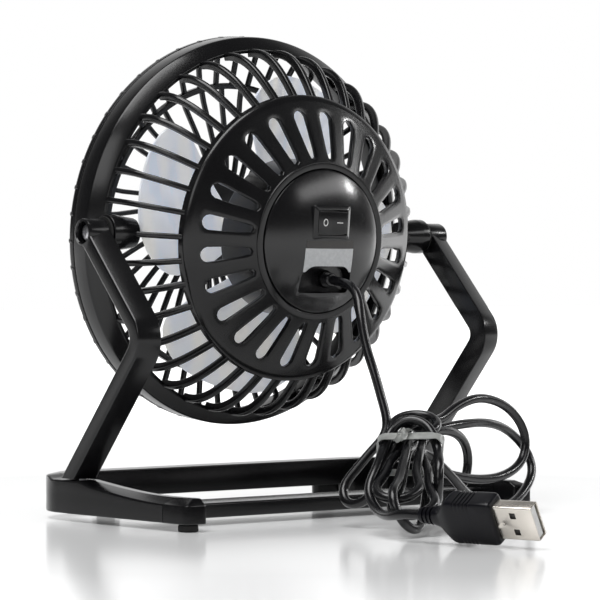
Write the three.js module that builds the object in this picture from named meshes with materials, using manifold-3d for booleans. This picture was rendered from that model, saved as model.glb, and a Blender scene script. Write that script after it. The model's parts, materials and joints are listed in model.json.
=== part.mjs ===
// Small desk fan on a chevron stand, with a USB lead.
// Millimetres, +Z up. The fan blows towards -Y; its switch and lead are on the +Y side.
// The origin is on the surface that the feet stand on, under the middle of the base.

import * as THREE from "three";
import { mergeVertices } from "three/addons/utils/BufferGeometryUtils.js";
import Module from "manifold-3d";

const wasm = await Module();
wasm.setup();

// ---------------------------------------------------------------- driving dimensions

const GAP = 0.3; // between pieces that seat on each other
const RAD = Math.PI / 180;
const SLIVER = 0.06; // faces thinner than this are merged where pieces of a moulding meet

// Head, in its own frame: the tilt pivots are at its origin and +Y is its rear.
const HEAD_TILT = -5.2; // degrees about +X: the face looks slightly up
const RING_R = 70; // outer radius of the ring that joins the two grilles
const RING_FRONT = -20.8; // front edge of the ring
const RING_DEPTH = 7.3; // length of its straight outer wall
const RING_WALL = 2.6;
const RING_FACETS = 48;
const RING_SHOULDER = 4.3; // how far the shoulder slopes in, and back

const CAGE_RIBS = 38;
const CAGE_RIB_WIDTH = 2.1;
const CAGE_RIB_DEPTH = 3;
const CAGE_RIB_STEPS = 3;
const CAGE_SECTORS = 12; // parts that the ring and its ribs are divided into
const CAGE_BOSS_RIBS = 4; // ribs on each of the two sectors that carry a boss

const PLATE_R = 50.5; // slotted rear plate
const PLATE_EDGE_Y = 17.2;
const PLATE_WALL = 2.2;
const PLATE_LIP = 3.2; // depth of the turned edge that the ribs run into
const SLOTS = 24;
const SLOT_INNER_R = 30.2; // centre of each slot's inner round end
const SLOT_OUTER_R = 42.6; // centre of its outer round end
const SLOT_INNER_WIDTH = 3;
const SLOT_OUTER_WIDTH = 5.4;

const CUP_R = 27.8; // motor cup in the middle of the plate
const CUP_WALL = 2.4;
const CUP_LEDGE = 1.6;
const CUP_FRONT_Y = 8;
const CUP_FLOOR = 2;
const CUP_SEGMENTS = 36;
const CUP_REAR_Y = 29.6;
const CUP_HOLE_R = 3.9;

const BOSS_R = 6.3; // tilt pivot bosses, next to the arms
const BOSS_TIP_R = 5.1; // and where they end inside the cage
const BOSS_REACH = 10.5; // from the ring in to the end of each boss
const PIVOT_SCREW_R = 1.5;
const WASHER_R = 5.6;
const WASHER_THICKNESS = 0.8;

const GRILLE_RIM_DEPTH = 2.6;
const GRILLE_SPIGOT_DEPTH = 4.6;
const GRILLE_SPIGOT_WALL = 1.5;
const GRILLE_RING_R = 52; // ring that the outer ribs meet
const GRILLE_RING_SECTION = 2.2;
const GRILLE_DOME = 8; // how far the middle stands in front of the rim
const GRILLE_OUTER_RIBS = 46;
const GRILLE_INNER_RIBS = 36;
const GRILLE_RIB_WIDTH = 1.8;
const GRILLE_RIB_DEPTH = 2;
const GRILLE_SWIRL = 14; // degrees that an inner rib turns on its way in
const BADGE_R = 18; // plain cap in the middle of the grille
const BEAD_PROUD = 0.9; // how far the rib ends stand out of the ring

const COVER_EDGE_Y = 29.8; // rear edge of the motor cover's rim
const COVER_DOME = 5.5;
const COVER_WALL = 3;
const SWITCH_Z = 7; // centre of the switch above the fan's axis
const BEZEL = { width: 16.2, height: 12, thickness: 2.4, corner: 0.8 };
const SWITCH_BODY = { width: 14.2, height: 10.4, depth: 8.4, floor: 1.2 };
const ROCKER = { width: 12, height: 7.8, keel: 3.2 };
const ROCKER_PIN_R = 0.6;
const ROCKER_PIN = 0.7; // how far each pin stands out
const ROCKER_ANGLE = 8; // degrees each way from level
const TERMINAL = { width: 4.8, thickness: 0.8, length: 3.6, spacing: 7 };
const SCOOP = { width: 21.5, top: -9, bottom: -17.6, floor: 29.4, wall: 1.4, corner: 5.5 };
const RELIEF = { x: -3, z: -13.2, r: 2.9, tipR: 2.2, flangeR: 3.9, flange: 1, tip: 33.4 };

const MOTOR_R = 12;
const MOTOR_LENGTH = 10.5;
const MOTOR_BOSS_R = 3.5;
const MOTOR_BOSS_LENGTH = 2.4;
const MOTOR_SCREW_R = 1.2;
const MOTOR_SCREW_HEAD_R = 2.1;
const MOTOR_SCREW_HEAD = 1;
const MOTOR_SCREW_BITE = 3;
const MOTOR_SCREW_CIRCLE = 8;
const BUSH_R = 2.4;
const SHAFT_R = 1;
const SHAFT_REAR = 6; // how far the shaft reaches into the motor

const FAN_CLEARANCE = 2.5; // from the blades' tips to the tilt pivot bosses
const FAN_R = RING_R - BOSS_REACH - FAN_CLEARANCE;
const FAN_BLADES = 4;
const FAN_SHEET = 1;
const FAN_DISC_R = 13.5;
const FAN_DISC_Y = -3.5; // front face of the disc that carries the blades
const FAN_SWEEP = 68; // degrees covered by one blade near its tip
const FAN_DEPTH = 15; // front to back near the tip
const FAN_ANGLE = 8; // degrees, where the first blade stands at rest
const HUB_R = 10;
const HUB_SPIGOT_R = 3;
const HUB_SPIGOT_LENGTH = 4.6;
const HUB_NUT_R = 6;
const HUB_NUT_LENGTH = 6;
const HUB_CLEARANCE = 1.6; // from the hub to the motor cup

// Stand.
const PIVOT_HEIGHT = 98.8;
const BASE_DEPTH = 91;
const HEAD_SIDE_SPACE = 2.4; // from the ring to the inner face of each arm
const PIVOT_FROM_FRONT = 36;
const PIVOT_Y = PIVOT_FROM_FRONT - BASE_DEPTH / 2;

const ARM_THICKNESS = 8.2;
const BASE_HALF_WIDTH = RING_R + HEAD_SIDE_SPACE + ARM_THICKNESS; // at the outer faces of the arms
const ARM_WIDTH = 8.6; // inner face; the outer face is narrower by two bevels
const ARM_BEVEL_REAR = 2;
const ARM_BEVEL_FRONT = 1.3;
const ARM_EYE_R = 4.9;
const ARM_UPPER_LENGTH = 48.9; // pivot to knee, on the centre line
const ARM_UPPER_ANGLE = 43; // degrees from upright
const ARM_LOWER_ANGLE = 41.2;
const ARM_KNEE_R = 8; // of the centre line
const PIVOT_RECESS_R = 3.7;
const PIVOT_RECESS_DEPTH = 3.6;
const PIVOT_HEAD_R = 3;
const PIVOT_HEAD_HEIGHT = 2;

const FOOT_HEIGHT = 2.6; // rubber below the rails
const FOOT_R = 3.4;
const FOOT_STUB_R = 2.4;
const FOOT_STUB = 2.2;
const RAIL_WIDTH = 8.6;
const RAIL_TOE = 3.3; // degrees that each rail leans in towards the rear
const RAIL_PAD_TOP = 14.3; // flat under the arm
const RAIL_REAR_TOP = 10.9; // crown at the rear end
const RAIL_BEVEL_FRONT = 0.9; // outer top edge below the crown, next to the pad
const RAIL_BEVEL_REAR = 2.1;
const RAIL_CROWN = 5.2; // distance of the crown line from the outer face
const RAIL_DIP_START = -2.5; // where the top leaves the pad, measured from the pivot
const RAIL_DIP_END = 42; // where it has reached its rear height
const RAIL_CAP = { length: 12.4, tongue: 4, tongueWidth: 4, tongueHeight: 4 };
const FRONT_BAR_TOP = 15.6;
const FRONT_BAR_BOTTOM = 6.2;
const FRONT_BAR_DEPTH = 12;
const FRONT_CORNER_R = 20;
const FRONT_INNER_R = 6;
const FRONT_FOOT_X = 50;
const FRONT_FOOT_BOSS_R = 5;
const REAR_BAR_DEPTH = 17;
const REAR_BAR_TOP = 7.6;
const REAR_BAR_FROM_REAR = 36; // rear edge of the base to the front edge of the bar
const ARM_SCREW_R = 1.3;
const ARM_SCREW_HEAD_R = 2.3;
const ARM_SCREW_HEAD = 1.6;
const ARM_SCREW_RECESS = 3;
const ARM_SCREW_BITE = 6.5;
const ARM_SCREW_OFFSET = 2.8; // behind the middle of the arm's foot
const ARM_SCREW_IN = 4.6; // from the arm's outer face

// Lead.
const CORD_D = 3.2;
const CORD_STEP = 9;
const HANK_WIDTH = 15;
const HANK_THICKNESS = 12;
const HANK_TOP = [2, 72, 29.5]; // middle of its upper round end
const HANK_FOOT = [29, 97, 9.8]; // middle of its lower round end
const TIE = { width: 4, wall: 0.9, from: 3 };
const USB_PLACE = [32.2, 147.8, 8.9]; // where the shell leaves the grip
const USB_HEADING = 106.1; // degrees from +X
const USB_ROLL = 31.2;
const USB_SHELL = { width: 12, thickness: 4.5, length: 13.7, buried: 5, wall: 0.4, tongue: 1.9 };
const USB_GRIP = { width: 15.6, thickness: 8.4, length: 21, shoulder: 4.5, neckR: 2.9, neck: 8 };

// ---------------------------------------------------------------- solids

function signedVolume(geometry) {
  const { position } = geometry.attributes;
  const corner = [new THREE.Vector3(), new THREE.Vector3(), new THREE.Vector3()];
  let volume = 0;
  for (let i = 0; i < geometry.index.count; i += 3) {
    corner.forEach((point, k) => point.fromBufferAttribute(position, geometry.index.getX(i + k)));
    volume += corner[0].dot(corner[1].clone().cross(corner[2])) / 6;
  }
  return volume;
}

// Vertices that coincide become one, flat triangles go, and the faces point outwards.
function closed(geometry) {
  const bare = geometry.clone();
  bare.deleteAttribute("normal");
  bare.deleteAttribute("uv");
  const merged = mergeVertices(bare, 1e-4);
  const index = [];
  for (let i = 0; i < merged.index.count; i += 3) {
    const [a, b, c] = [0, 1, 2].map((k) => merged.index.getX(i + k));
    if (a !== b && b !== c && c !== a) index.push(a, b, c);
  }
  merged.setIndex(index);
  if (signedVolume(merged) < 0) merged.setIndex(index.reverse());
  return merged;
}

function toManifold(geometry) {
  const merged = closed(geometry);
  return new wasm.Manifold(new wasm.Mesh({
    numProp: 3,
    vertProperties: Float32Array.from(merged.attributes.position.array),
    triVerts: Uint32Array.from(merged.index.array),
  }));
}

function toGeometry(manifold) {
  const { vertProperties, triVerts } = manifold.getMesh();
  const geometry = new THREE.BufferGeometry();
  geometry.setAttribute("position", new THREE.BufferAttribute(vertProperties, 3));
  geometry.setIndex(new THREE.BufferAttribute(triVerts, 1));
  return geometry;
}

function join(...pieces) {
  return toGeometry(pieces.map(toManifold).reduce((a, b) => a.add(b)).simplify(SLIVER));
}

function cut(body, ...tools) {
  return toGeometry(tools.map(toManifold).reduce((a, b) => a.subtract(b), toManifold(body)));
}

function overlap(body, tool) {
  return toGeometry(toManifold(body).intersect(toManifold(tool)).simplify(SLIVER));
}

// Closed outline of [radius, height] pairs turned about +Y. A shift of 0.5 centres a facet on +Z.
function revolve(outline, segments, shift = 0) {
  const points = [...outline, outline[0]].map(([r, y]) => new THREE.Vector2(r, y));
  return new THREE.LatheGeometry(points, segments, shift * 2 * Math.PI / segments);
}

// The same, about +X or +Z.
const revolveX = (outline, segments) => revolve(outline, segments).rotateZ(-Math.PI / 2);
const revolveZ = (outline, segments) => revolve(outline, segments).rotateX(Math.PI / 2);

// Plain round bar from one height to another.
const bar = (r, from, to) => [[0, from], [r, from], [r, to], [0, to]];

function box([x0, x1], [y0, y1], [z0, z1]) {
  const geometry = new THREE.BoxGeometry(x1 - x0, y1 - y0, z1 - z0);
  return geometry.translate((x0 + x1) / 2, (y0 + y1) / 2, (z0 + z1) / 2);
}

// Flat outline drawn in X and Z, from one Y to another.
function slab(shape, from, to, curveSegments = 6) {
  const geometry = new THREE.ExtrudeGeometry(shape, { depth: to - from, bevelEnabled: false, curveSegments });
  return geometry.rotateX(Math.PI / 2).translate(0, to, 0);
}

// Flat outline drawn in X and Y, from one Z to another.
function layer(shape, from, to, curveSegments = 6) {
  const geometry = new THREE.ExtrudeGeometry(shape, { depth: to - from, bevelEnabled: false, curveSegments });
  return geometry.translate(0, 0, from);
}

// Skin over a row of closed outlines with equally many points, capped at both ends.
function loft(outlines) {
  const count = outlines[0].length;
  const index = [];
  for (let row = 0; row < outlines.length - 1; row++) {
    for (let i = 0; i < count; i++) {
      const a = row * count + i;
      const b = row * count + ((i + 1) % count);
      index.push(a, b, b + count, a, b + count, a + count);
    }
  }
  const last = (outlines.length - 1) * count;
  for (let i = 1; i < count - 1; i++) {
    index.push(0, i + 1, i);
    index.push(last, last + i, last + i + 1);
  }
  const geometry = new THREE.BufferGeometry().setFromPoints(outlines.flat());
  geometry.setIndex(index);
  return geometry;
}

// Rounded rectangle about the origin.
function roundedRectangle(width, height, radius) {
  const [x, y] = [width / 2, height / 2];
  const shape = new THREE.Shape();
  shape.moveTo(radius - x, -y);
  shape.lineTo(x - radius, -y).absarc(x - radius, radius - y, radius, -Math.PI / 2, 0);
  shape.lineTo(x, y - radius).absarc(x - radius, y - radius, radius, 0, Math.PI / 2);
  shape.lineTo(radius - x, y).absarc(radius - x, y - radius, radius, Math.PI / 2, Math.PI);
  shape.lineTo(-x, radius - y).absarc(radius - x, radius - y, radius, Math.PI, Math.PI * 1.5);
  return shape;
}

// ---------------------------------------------------------------- finishes

function finish(color, roughness, metalness = 0) {
  return new THREE.MeshStandardMaterial({ color, roughness, metalness });
}

const SATIN_BLACK = finish(0x17181b, 0.42);
const GLOSS_BLACK = finish(0x0e0e10, 0.14);
const RUBBER = finish(0x121212, 0.8);
const CORD_BLACK = finish(0x141417, 0.38);
const ALUMINIUM = finish(0xc9ccd2, 0.3, 1);
const NICKEL = finish(0xb9b2a6, 0.28, 1);
const STEEL = finish(0xa7a9ad, 0.32, 1);

function piece(name, geometry, material) {
  const mesh = new THREE.Mesh(closed(geometry), material);
  mesh.name = name;
  return mesh;
}

// ---------------------------------------------------------------- head: rear cage

const RING_REAR = RING_FRONT + RING_DEPTH;
const SHOULDER_R = RING_R - RING_SHOULDER;
const SHOULDER_Y = RING_REAR + RING_SHOULDER;
const CUP_INNER_R = CUP_R - CUP_WALL;
const LEDGE_Y = COVER_EDGE_Y - 2.6;

function ringShell() {
  const inner = RING_R - RING_WALL;
  return revolve([
    [inner, RING_FRONT], [RING_R, RING_FRONT], [RING_R, RING_REAR], [SHOULDER_R, SHOULDER_Y],
    [SHOULDER_R - 1.6, SHOULDER_Y], [inner, RING_REAR - 0.6],
  ], RING_FACETS, 0.5);
}

// Outer edge of a cage rib, from the ring's shoulder to the edge of the plate.
function cageCurve() {
  return new THREE.CubicBezierCurve(
    new THREE.Vector2(SHOULDER_R + 0.2, SHOULDER_Y - 1.2),
    new THREE.Vector2(SHOULDER_R + 1.5, SHOULDER_Y + 11),
    new THREE.Vector2(PLATE_R + 9.5, PLATE_EDGE_Y - 8.5),
    new THREE.Vector2(PLATE_R - 1, PLATE_EDGE_Y - 0.1),
  );
}

// Bar of rectangular section whose outer edge follows (radius, y) points, each at its own angle.
function cageBar(points, angles, width, depth) {
  return loft(points.map((point, i) => {
    const before = points[Math.max(i - 1, 0)];
    const after = points[Math.min(i + 1, points.length - 1)];
    const along = after.clone().sub(before).normalize();
    const inward = new THREE.Vector2(-along.y, along.x).multiplyScalar(depth);
    if (inward.x > 0) inward.negate();
    const radial = new THREE.Vector3(Math.cos(angles[i]), 0, Math.sin(angles[i]));
    const across = new THREE.Vector3(-Math.sin(angles[i]), 0, Math.cos(angles[i]));
    const corner = (side, drop) => radial.clone()
      .multiplyScalar(point.x + drop * inward.x)
      .addScaledVector(across, side * width / 2)
      .setY(point.y + drop * inward.y);
    return [corner(-1, 0), corner(1, 0), corner(1, 1), corner(-1, 1)];
  }));
}

function cageRibs() {
  const points = cageCurve().getPoints(CAGE_RIB_STEPS);
  return Array.from({ length: CAGE_RIBS }, (_, i) => {
    const angle = (i / CAGE_RIBS) * 2 * Math.PI;
    return cageBar(points, points.map(() => angle), CAGE_RIB_WIDTH, CAGE_RIB_DEPTH);
  });
}

// Height of the plate's outer face at a radius.
function plateY(r) {
  return THREE.MathUtils.mapLinear(r, PLATE_R - 0.9, CUP_R, PLATE_EDGE_Y + 1, CUP_REAR_Y - 0.7);
}

function slottedPlate() {
  const inner = CUP_R - 0.6;
  const plate = revolve([
    [PLATE_R, PLATE_EDGE_Y - PLATE_LIP], [PLATE_R, PLATE_EDGE_Y], [PLATE_R - 0.9, plateY(PLATE_R - 0.9)],
    [inner, plateY(inner)], [inner, plateY(inner) - PLATE_WALL], [PLATE_R - 2.2, PLATE_EDGE_Y - PLATE_LIP],
  ], SLOTS * 2, 0.5);
  const slot = new THREE.Shape();
  slot.absarc(SLOT_OUTER_R, 0, SLOT_OUTER_WIDTH / 2, -Math.PI / 2, Math.PI / 2);
  slot.absarc(SLOT_INNER_R, 0, SLOT_INNER_WIDTH / 2, Math.PI / 2, Math.PI * 1.5);
  const slots = Array.from({ length: SLOTS }, (_, i) =>
    slab(slot, PLATE_EDGE_Y - 8, CUP_REAR_Y + 4, 2).rotateY((i + 0.5) / SLOTS * 2 * Math.PI));
  return cut(plate, ...slots);
}

function motorCup() {
  const ledge = CUP_INNER_R - CUP_LEDGE;
  const floor = CUP_FRONT_Y + CUP_FLOOR;
  const cup = revolve([
    [CUP_HOLE_R, CUP_FRONT_Y], [CUP_R, CUP_FRONT_Y], [CUP_R, CUP_REAR_Y],
    [CUP_INNER_R, CUP_REAR_Y], [CUP_INNER_R, LEDGE_Y], [ledge, LEDGE_Y], [ledge, floor], [CUP_HOLE_R, floor],
  ], CUP_SEGMENTS);
  const hole = bar(MOTOR_SCREW_R + GAP, CUP_FRONT_Y - 1, floor + 1);
  const holes = [-1, 1].map((side) => revolve(hole, 12).translate(side * MOTOR_SCREW_CIRCLE, 0, 0));
  return cut(cup, ...holes);
}

// Face of a boss next to its arm, the washer's place and the arm's inner face.
const ARM_INNER_X = BASE_HALF_WIDTH - ARM_THICKNESS;
const WASHER_X = ARM_INNER_X - GAP - WASHER_THICKNESS;
const BOSS_OUTER_X = WASHER_X - GAP;
const BOSS_INNER_X = RING_R - BOSS_REACH;

function pivotBoss(side) {
  const boss = revolveX([
    [0, BOSS_INNER_X], [BOSS_TIP_R, BOSS_INNER_X], [BOSS_R, BOSS_OUTER_X - 3],
    [BOSS_R, BOSS_OUTER_X], [0, BOSS_OUTER_X],
  ], 20);
  return side > 0 ? boss : boss.rotateZ(Math.PI);
}

function pivotBore(side) {
  const bore = revolveX(bar(PIVOT_SCREW_R + GAP, BOSS_INNER_X - 1, BOSS_OUTER_X + 1), 14);
  return side > 0 ? bore : bore.rotateZ(Math.PI);
}

// Spaces between ribs where the cage is divided, counted in ribs from +X. A boss stands between
// the last seam of each half and the first one of the next.
function cageSeams() {
  const half = CAGE_RIBS / 2;
  const steps = CAGE_SECTORS / 2 - 1;
  const free = half - CAGE_BOSS_RIBS;
  const seams = Array.from({ length: steps + 1 }, (_, i) => 1.5 + Math.round((i / steps) * free));
  return [...seams, ...seams.map((seam) => seam + half)];
}

// Wedge from one seam to the next, less half a gap at each.
function cageWedge(from, to) {
  const corner = (seam, r, side) => {
    const angle = (seam / CAGE_RIBS) * 2 * Math.PI + side * Math.asin(GAP / 2 / r);
    return new THREE.Vector2(r * Math.cos(angle), r * Math.sin(angle));
  };
  const [near, far] = [RING_R * 0.3, RING_R * 1.4];
  const outline = [corner(from, near, 1), corner(from, far, 1), corner(to, far, -1), corner(to, near, -1)];
  return slab(new THREE.Shape(outline), RING_FRONT - 5, CUP_REAR_Y);
}

// Ring and ribs, up to the edge of the plate, sector by sector.
function rearCage() {
  const platePlace = revolve(bar(PLATE_R + GAP, PLATE_EDGE_Y - 12, PLATE_EDGE_Y + 6), CAGE_RIBS, 0.5);
  const shell = join(ringShell(), ...cageRibs(), pivotBoss(1), pivotBoss(-1));
  const whole = cut(shell, platePlace, pivotBore(1), pivotBore(-1));
  const seams = cageSeams();
  return seams.map((from, i) => overlap(whole, cageWedge(from, seams[i + 1] ?? seams[0] + CAGE_RIBS)));
}

// Slotted plate with the motor's cup.
function rearPlate() {
  return join(slottedPlate(), motorCup());
}

// ---------------------------------------------------------------- head: front grille

const GRILLE_REAR = RING_FRONT - GAP;
const GRILLE_RIM_FRONT = GRILLE_REAR - GRILLE_RIM_DEPTH;

// Front face of the domed grille at a radius.
function grilleY(r) {
  const share = 1 - (r / RING_R) ** 2;
  return GRILLE_RIM_FRONT - 0.8 - GRILLE_DOME * share;
}

// Ring that the outer and the inner ribs meet, a little proud of both.
function grilleRing() {
  const [inner, outer] = [GRILLE_RING_R - GRILLE_RING_SECTION / 2, GRILLE_RING_R + GRILLE_RING_SECTION / 2];
  const front = grilleY(GRILLE_RING_R) - 0.3;
  const back = front + GRILLE_RIB_DEPTH + 0.6;
  return revolve([[inner, front], [outer, front], [outer, back], [inner, back]], GRILLE_OUTER_RIBS, 0.5);
}

function grilleRim() {
  const spigot = RING_R - RING_WALL - GAP;
  return revolve([
    [spigot - GRILLE_SPIGOT_WALL, GRILLE_RIM_FRONT], [RING_R, GRILLE_RIM_FRONT], [RING_R, GRILLE_REAR],
    [spigot, GRILLE_REAR], [spigot, GRILLE_REAR + GRILLE_SPIGOT_DEPTH],
    [spigot - GRILLE_SPIGOT_WALL, GRILLE_REAR + GRILLE_SPIGOT_DEPTH],
  ], GRILLE_OUTER_RIBS, 0.5);
}

// Bar of rectangular section through places given as outer (radius, y), inner (radius, y) and angle.
function grilleBar(places) {
  return loft(places.map(([outer, inner, angle]) => {
    const radial = new THREE.Vector3(Math.cos(angle), 0, Math.sin(angle));
    const across = new THREE.Vector3(-Math.sin(angle), 0, Math.cos(angle));
    const corner = (side, [r, y]) => radial.clone()
      .multiplyScalar(r)
      .addScaledVector(across, side * GRILLE_RIB_WIDTH / 2)
      .setY(y);
    return [corner(-1, outer), corner(1, outer), corner(1, inner), corner(-1, inner)];
  }));
}

// Rib that wraps the rim with a small bead and runs to the middle ring.
function outerGrilleRib(angle) {
  const [proud, back, front] = [RING_R + BEAD_PROUD, GRILLE_REAR - 0.6, GRILLE_RIM_FRONT];
  const ring = grilleY(GRILLE_RING_R);
  return grilleBar([
    [[proud, back], [RING_R - 1.4, back], angle],
    [[proud - 0.3, front - 0.2], [RING_R - 1.8, front + 1.4], angle],
    [[GRILLE_RING_R, ring], [GRILLE_RING_R, ring + GRILLE_RIB_DEPTH], angle],
  ]);
}

// Curved rib from the middle ring to the cap.
function innerGrilleRib(angle) {
  const steps = 2;
  return grilleBar(Array.from({ length: steps + 1 }, (_, i) => {
    const r = THREE.MathUtils.lerp(GRILLE_RING_R, BADGE_R - 0.5, i / steps);
    const y = grilleY(r);
    return [[r, y], [r, y + GRILLE_RIB_DEPTH], angle + GRILLE_SWIRL * RAD * (i / steps) ** 1.5];
  }));
}

function frontGrille() {
  const back = grilleY(BADGE_R) + GRILLE_RIB_DEPTH + 0.6;
  const cap = revolve([
    [0, grilleY(0) - 0.8], [BADGE_R * 0.6, grilleY(0) - 0.5], [BADGE_R, grilleY(BADGE_R) + 0.2],
    [BADGE_R, back], [0, back],
  ], GRILLE_INNER_RIBS);
  const around = (count, rib) =>
    Array.from({ length: count }, (_, i) => rib((i + 0.5) / count * 2 * Math.PI));
  const outerRibs = around(GRILLE_OUTER_RIBS, outerGrilleRib);
  const innerRibs = around(GRILLE_INNER_RIBS, innerGrilleRib);
  return join(grilleRim(), grilleRing(), cap, ...outerRibs, ...innerRibs);
}

// ---------------------------------------------------------------- head: motor and switch

const COVER_R = CUP_INNER_R - GAP;
const COVER_FOOT = LEDGE_Y + GAP;
const coverY = (r) => COVER_EDGE_Y + COVER_DOME * (1 - (r / COVER_R) ** 2.4);
const BEZEL_SEAT = coverY(Math.hypot(BEZEL.width / 2, SWITCH_Z + BEZEL.height / 2)) - 0.1;
const BEZEL_BACK = BEZEL_SEAT + GAP;
const BEZEL_TOP = BEZEL_BACK + BEZEL.thickness;
const SWITCH_FLOOR = BEZEL_BACK - SWITCH_BODY.depth;
const ROCKER_Y = BEZEL_TOP - 1.6; // axis that the rocker turns on

// Solid domed disc under the cover's outer face, lowered by a wall.
function coverDome(drop, radius, foot, shares, segments) {
  const top = shares.map((share) => [share * radius, coverY(share * radius) - drop]);
  const shoulder = [radius, COVER_EDGE_Y - 0.4 - drop];
  return revolve([[0, foot], [radius, foot], shoulder, ...top, [0, coverY(0) - drop]], segments);
}

// Recess that the lead comes out of: flat below, with rounded shoulders above.
function scoop(margin, from, to) {
  const halfWidth = SCOOP.width / 2 + margin;
  const [top, bottom, r] = [SCOOP.top + margin, SCOOP.bottom - margin, SCOOP.corner + margin];
  const shape = new THREE.Shape();
  shape.moveTo(-halfWidth, bottom);
  shape.lineTo(halfWidth, bottom);
  shape.lineTo(halfWidth, top - r).absarc(halfWidth - r, top - r, r, 0, Math.PI / 2);
  shape.lineTo(r - halfWidth, top).absarc(r - halfWidth, top - r, r, Math.PI / 2, Math.PI);
  return slab(shape, from, to, 3);
}

function motorCover() {
  const solid = coverDome(0, COVER_R, COVER_FOOT, [0.985, 0.9, 0.75, 0.5, 0.25], CUP_SEGMENTS);
  const hollow = coverDome(COVER_WALL, COVER_R - COVER_WALL, COVER_FOOT - 1, [0.95, 0.5], CUP_SEGMENTS / 2);
  const clearance = ({ width, height }, from, to) => {
    const [x, z] = [width / 2 + GAP, height / 2 + GAP];
    return box([-x, x], [from, to], [SWITCH_Z - z, SWITCH_Z + z]);
  };
  const reliefHole = revolve(bar(RELIEF.r + GAP, COVER_FOOT - 1, SCOOP.floor + 1), 16);
  return cut(
    solid,
    cut(hollow, scoop(SCOOP.wall, SCOOP.floor - SCOOP.wall, BEZEL_TOP)),
    scoop(0, SCOOP.floor, BEZEL_TOP + 2),
    clearance(BEZEL, BEZEL_SEAT, BEZEL_TOP + 2),
    clearance(SWITCH_BODY, COVER_FOOT - 1, BEZEL_TOP),
    reliefHole.translate(RELIEF.x, 0, RELIEF.z),
  );
}

function strainRelief() {
  const under = SCOOP.floor - SCOOP.wall - GAP;
  return revolve([
    [0, under - RELIEF.flange], [RELIEF.flangeR, under - RELIEF.flange], [RELIEF.flangeR, under],
    [RELIEF.r, under], [RELIEF.r, SCOOP.floor + 0.8], [RELIEF.tipR, RELIEF.tip], [0, RELIEF.tip],
  ], 16).translate(RELIEF.x, 0, RELIEF.z);
}

// The switch is drawn about its own centre and placed at the end.
function switchHousing() {
  const opening = roundedRectangle(ROCKER.width + 2 * GAP, ROCKER.height + 2 * GAP, 0.3);
  const bezel = slab(roundedRectangle(BEZEL.width, BEZEL.height, BEZEL.corner), BEZEL_BACK, BEZEL_TOP, 3);
  const [halfWidth, halfHeight] = [SWITCH_BODY.width / 2, SWITCH_BODY.height / 2];
  const body = box([-halfWidth, halfWidth], [SWITCH_FLOOR, BEZEL_BACK + 0.5], [-halfHeight, halfHeight]);
  const well = slab(opening, SWITCH_FLOOR + SWITCH_BODY.floor, BEZEL_TOP + 1, 2);
  const pins = revolveZ(bar(ROCKER_PIN_R + GAP, -halfHeight - 1, halfHeight + 1), 12);
  const terminals = [-1, 1].map((side) => terminal(side, GAP));
  return cut(join(bezel, body), well, pins.translate(0, ROCKER_Y, 0), ...terminals);
}

// Rocker with its two faces sloping up from the middle, level with the housing at 0 degrees.
function switchRocker() {
  const [half, keel] = [ROCKER.width / 2 - 0.25, ROCKER.keel];
  const middle = BEZEL_TOP - ROCKER_Y - 0.1;
  const end = middle + half * Math.tan(ROCKER_ANGLE * RAD);
  const shape = new THREE.Shape();
  shape.moveTo(-half, end);
  shape.lineTo(0, middle);
  shape.lineTo(half, end);
  shape.lineTo(half - 0.5, -0.9);
  shape.quadraticCurveTo(half / 2, -keel + 0.6, 1, -keel);
  shape.lineTo(-1, -keel);
  shape.quadraticCurveTo(-half / 2, -keel + 0.6, 0.5 - half, -0.9);
  const body = layer(shape, -ROCKER.height / 2, ROCKER.height / 2, 4);
  const reach = ROCKER.height / 2 + ROCKER_PIN;
  return join(body, revolveZ(bar(ROCKER_PIN_R, -reach, reach), 12));
}

function terminal(side, margin) {
  const x = side * TERMINAL.spacing / 2;
  const [halfThickness, halfWidth] = [TERMINAL.thickness / 2 + margin, TERMINAL.width / 2 + margin];
  const ends = [SWITCH_FLOOR - TERMINAL.length, SWITCH_FLOOR + SWITCH_BODY.floor + 0.6];
  return box([x - halfThickness, x + halfThickness], ends, [-halfWidth, halfWidth]);
}

const MOTOR_FRONT = CUP_FRONT_Y + CUP_FLOOR + GAP;

function motorBody() {
  const rear = MOTOR_FRONT + MOTOR_LENGTH;
  const can = revolve([
    [0, MOTOR_FRONT], [MOTOR_R - 0.6, MOTOR_FRONT], [MOTOR_R, MOTOR_FRONT + 0.6],
    [MOTOR_R, rear - 0.8], [MOTOR_R - 0.8, rear], [0, rear],
  ], 24);
  const boss = revolve(bar(MOTOR_BOSS_R, MOTOR_FRONT - MOTOR_BOSS_LENGTH, MOTOR_FRONT + 0.5), 16);
  const bushSeat = revolve(bar(BUSH_R + GAP, MOTOR_FRONT - MOTOR_BOSS_LENGTH - 1, MOTOR_FRONT + 1 + GAP), 14);
  const shaftHole = revolve(bar(SHAFT_R + GAP, MOTOR_FRONT, MOTOR_FRONT + SHAFT_REAR + 1), 14);
  const screwHoles = [-1, 1].map((side) => motorScrewHole(side));
  return cut(join(can, boss), bushSeat, shaftHole, ...screwHoles);
}

function motorScrewHole(side) {
  const hole = bar(MOTOR_SCREW_R + GAP, MOTOR_FRONT - 1, MOTOR_FRONT + MOTOR_SCREW_BITE + 0.6);
  return revolve(hole, 12).translate(side * MOTOR_SCREW_CIRCLE, 0, 0);
}

function motorBush() {
  const front = MOTOR_FRONT - MOTOR_BOSS_LENGTH - 0.5;
  return revolve([
    [SHAFT_R + GAP, front], [BUSH_R, front], [BUSH_R, MOTOR_FRONT + 1], [SHAFT_R + GAP, MOTOR_FRONT + 1],
  ], 14);
}

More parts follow.
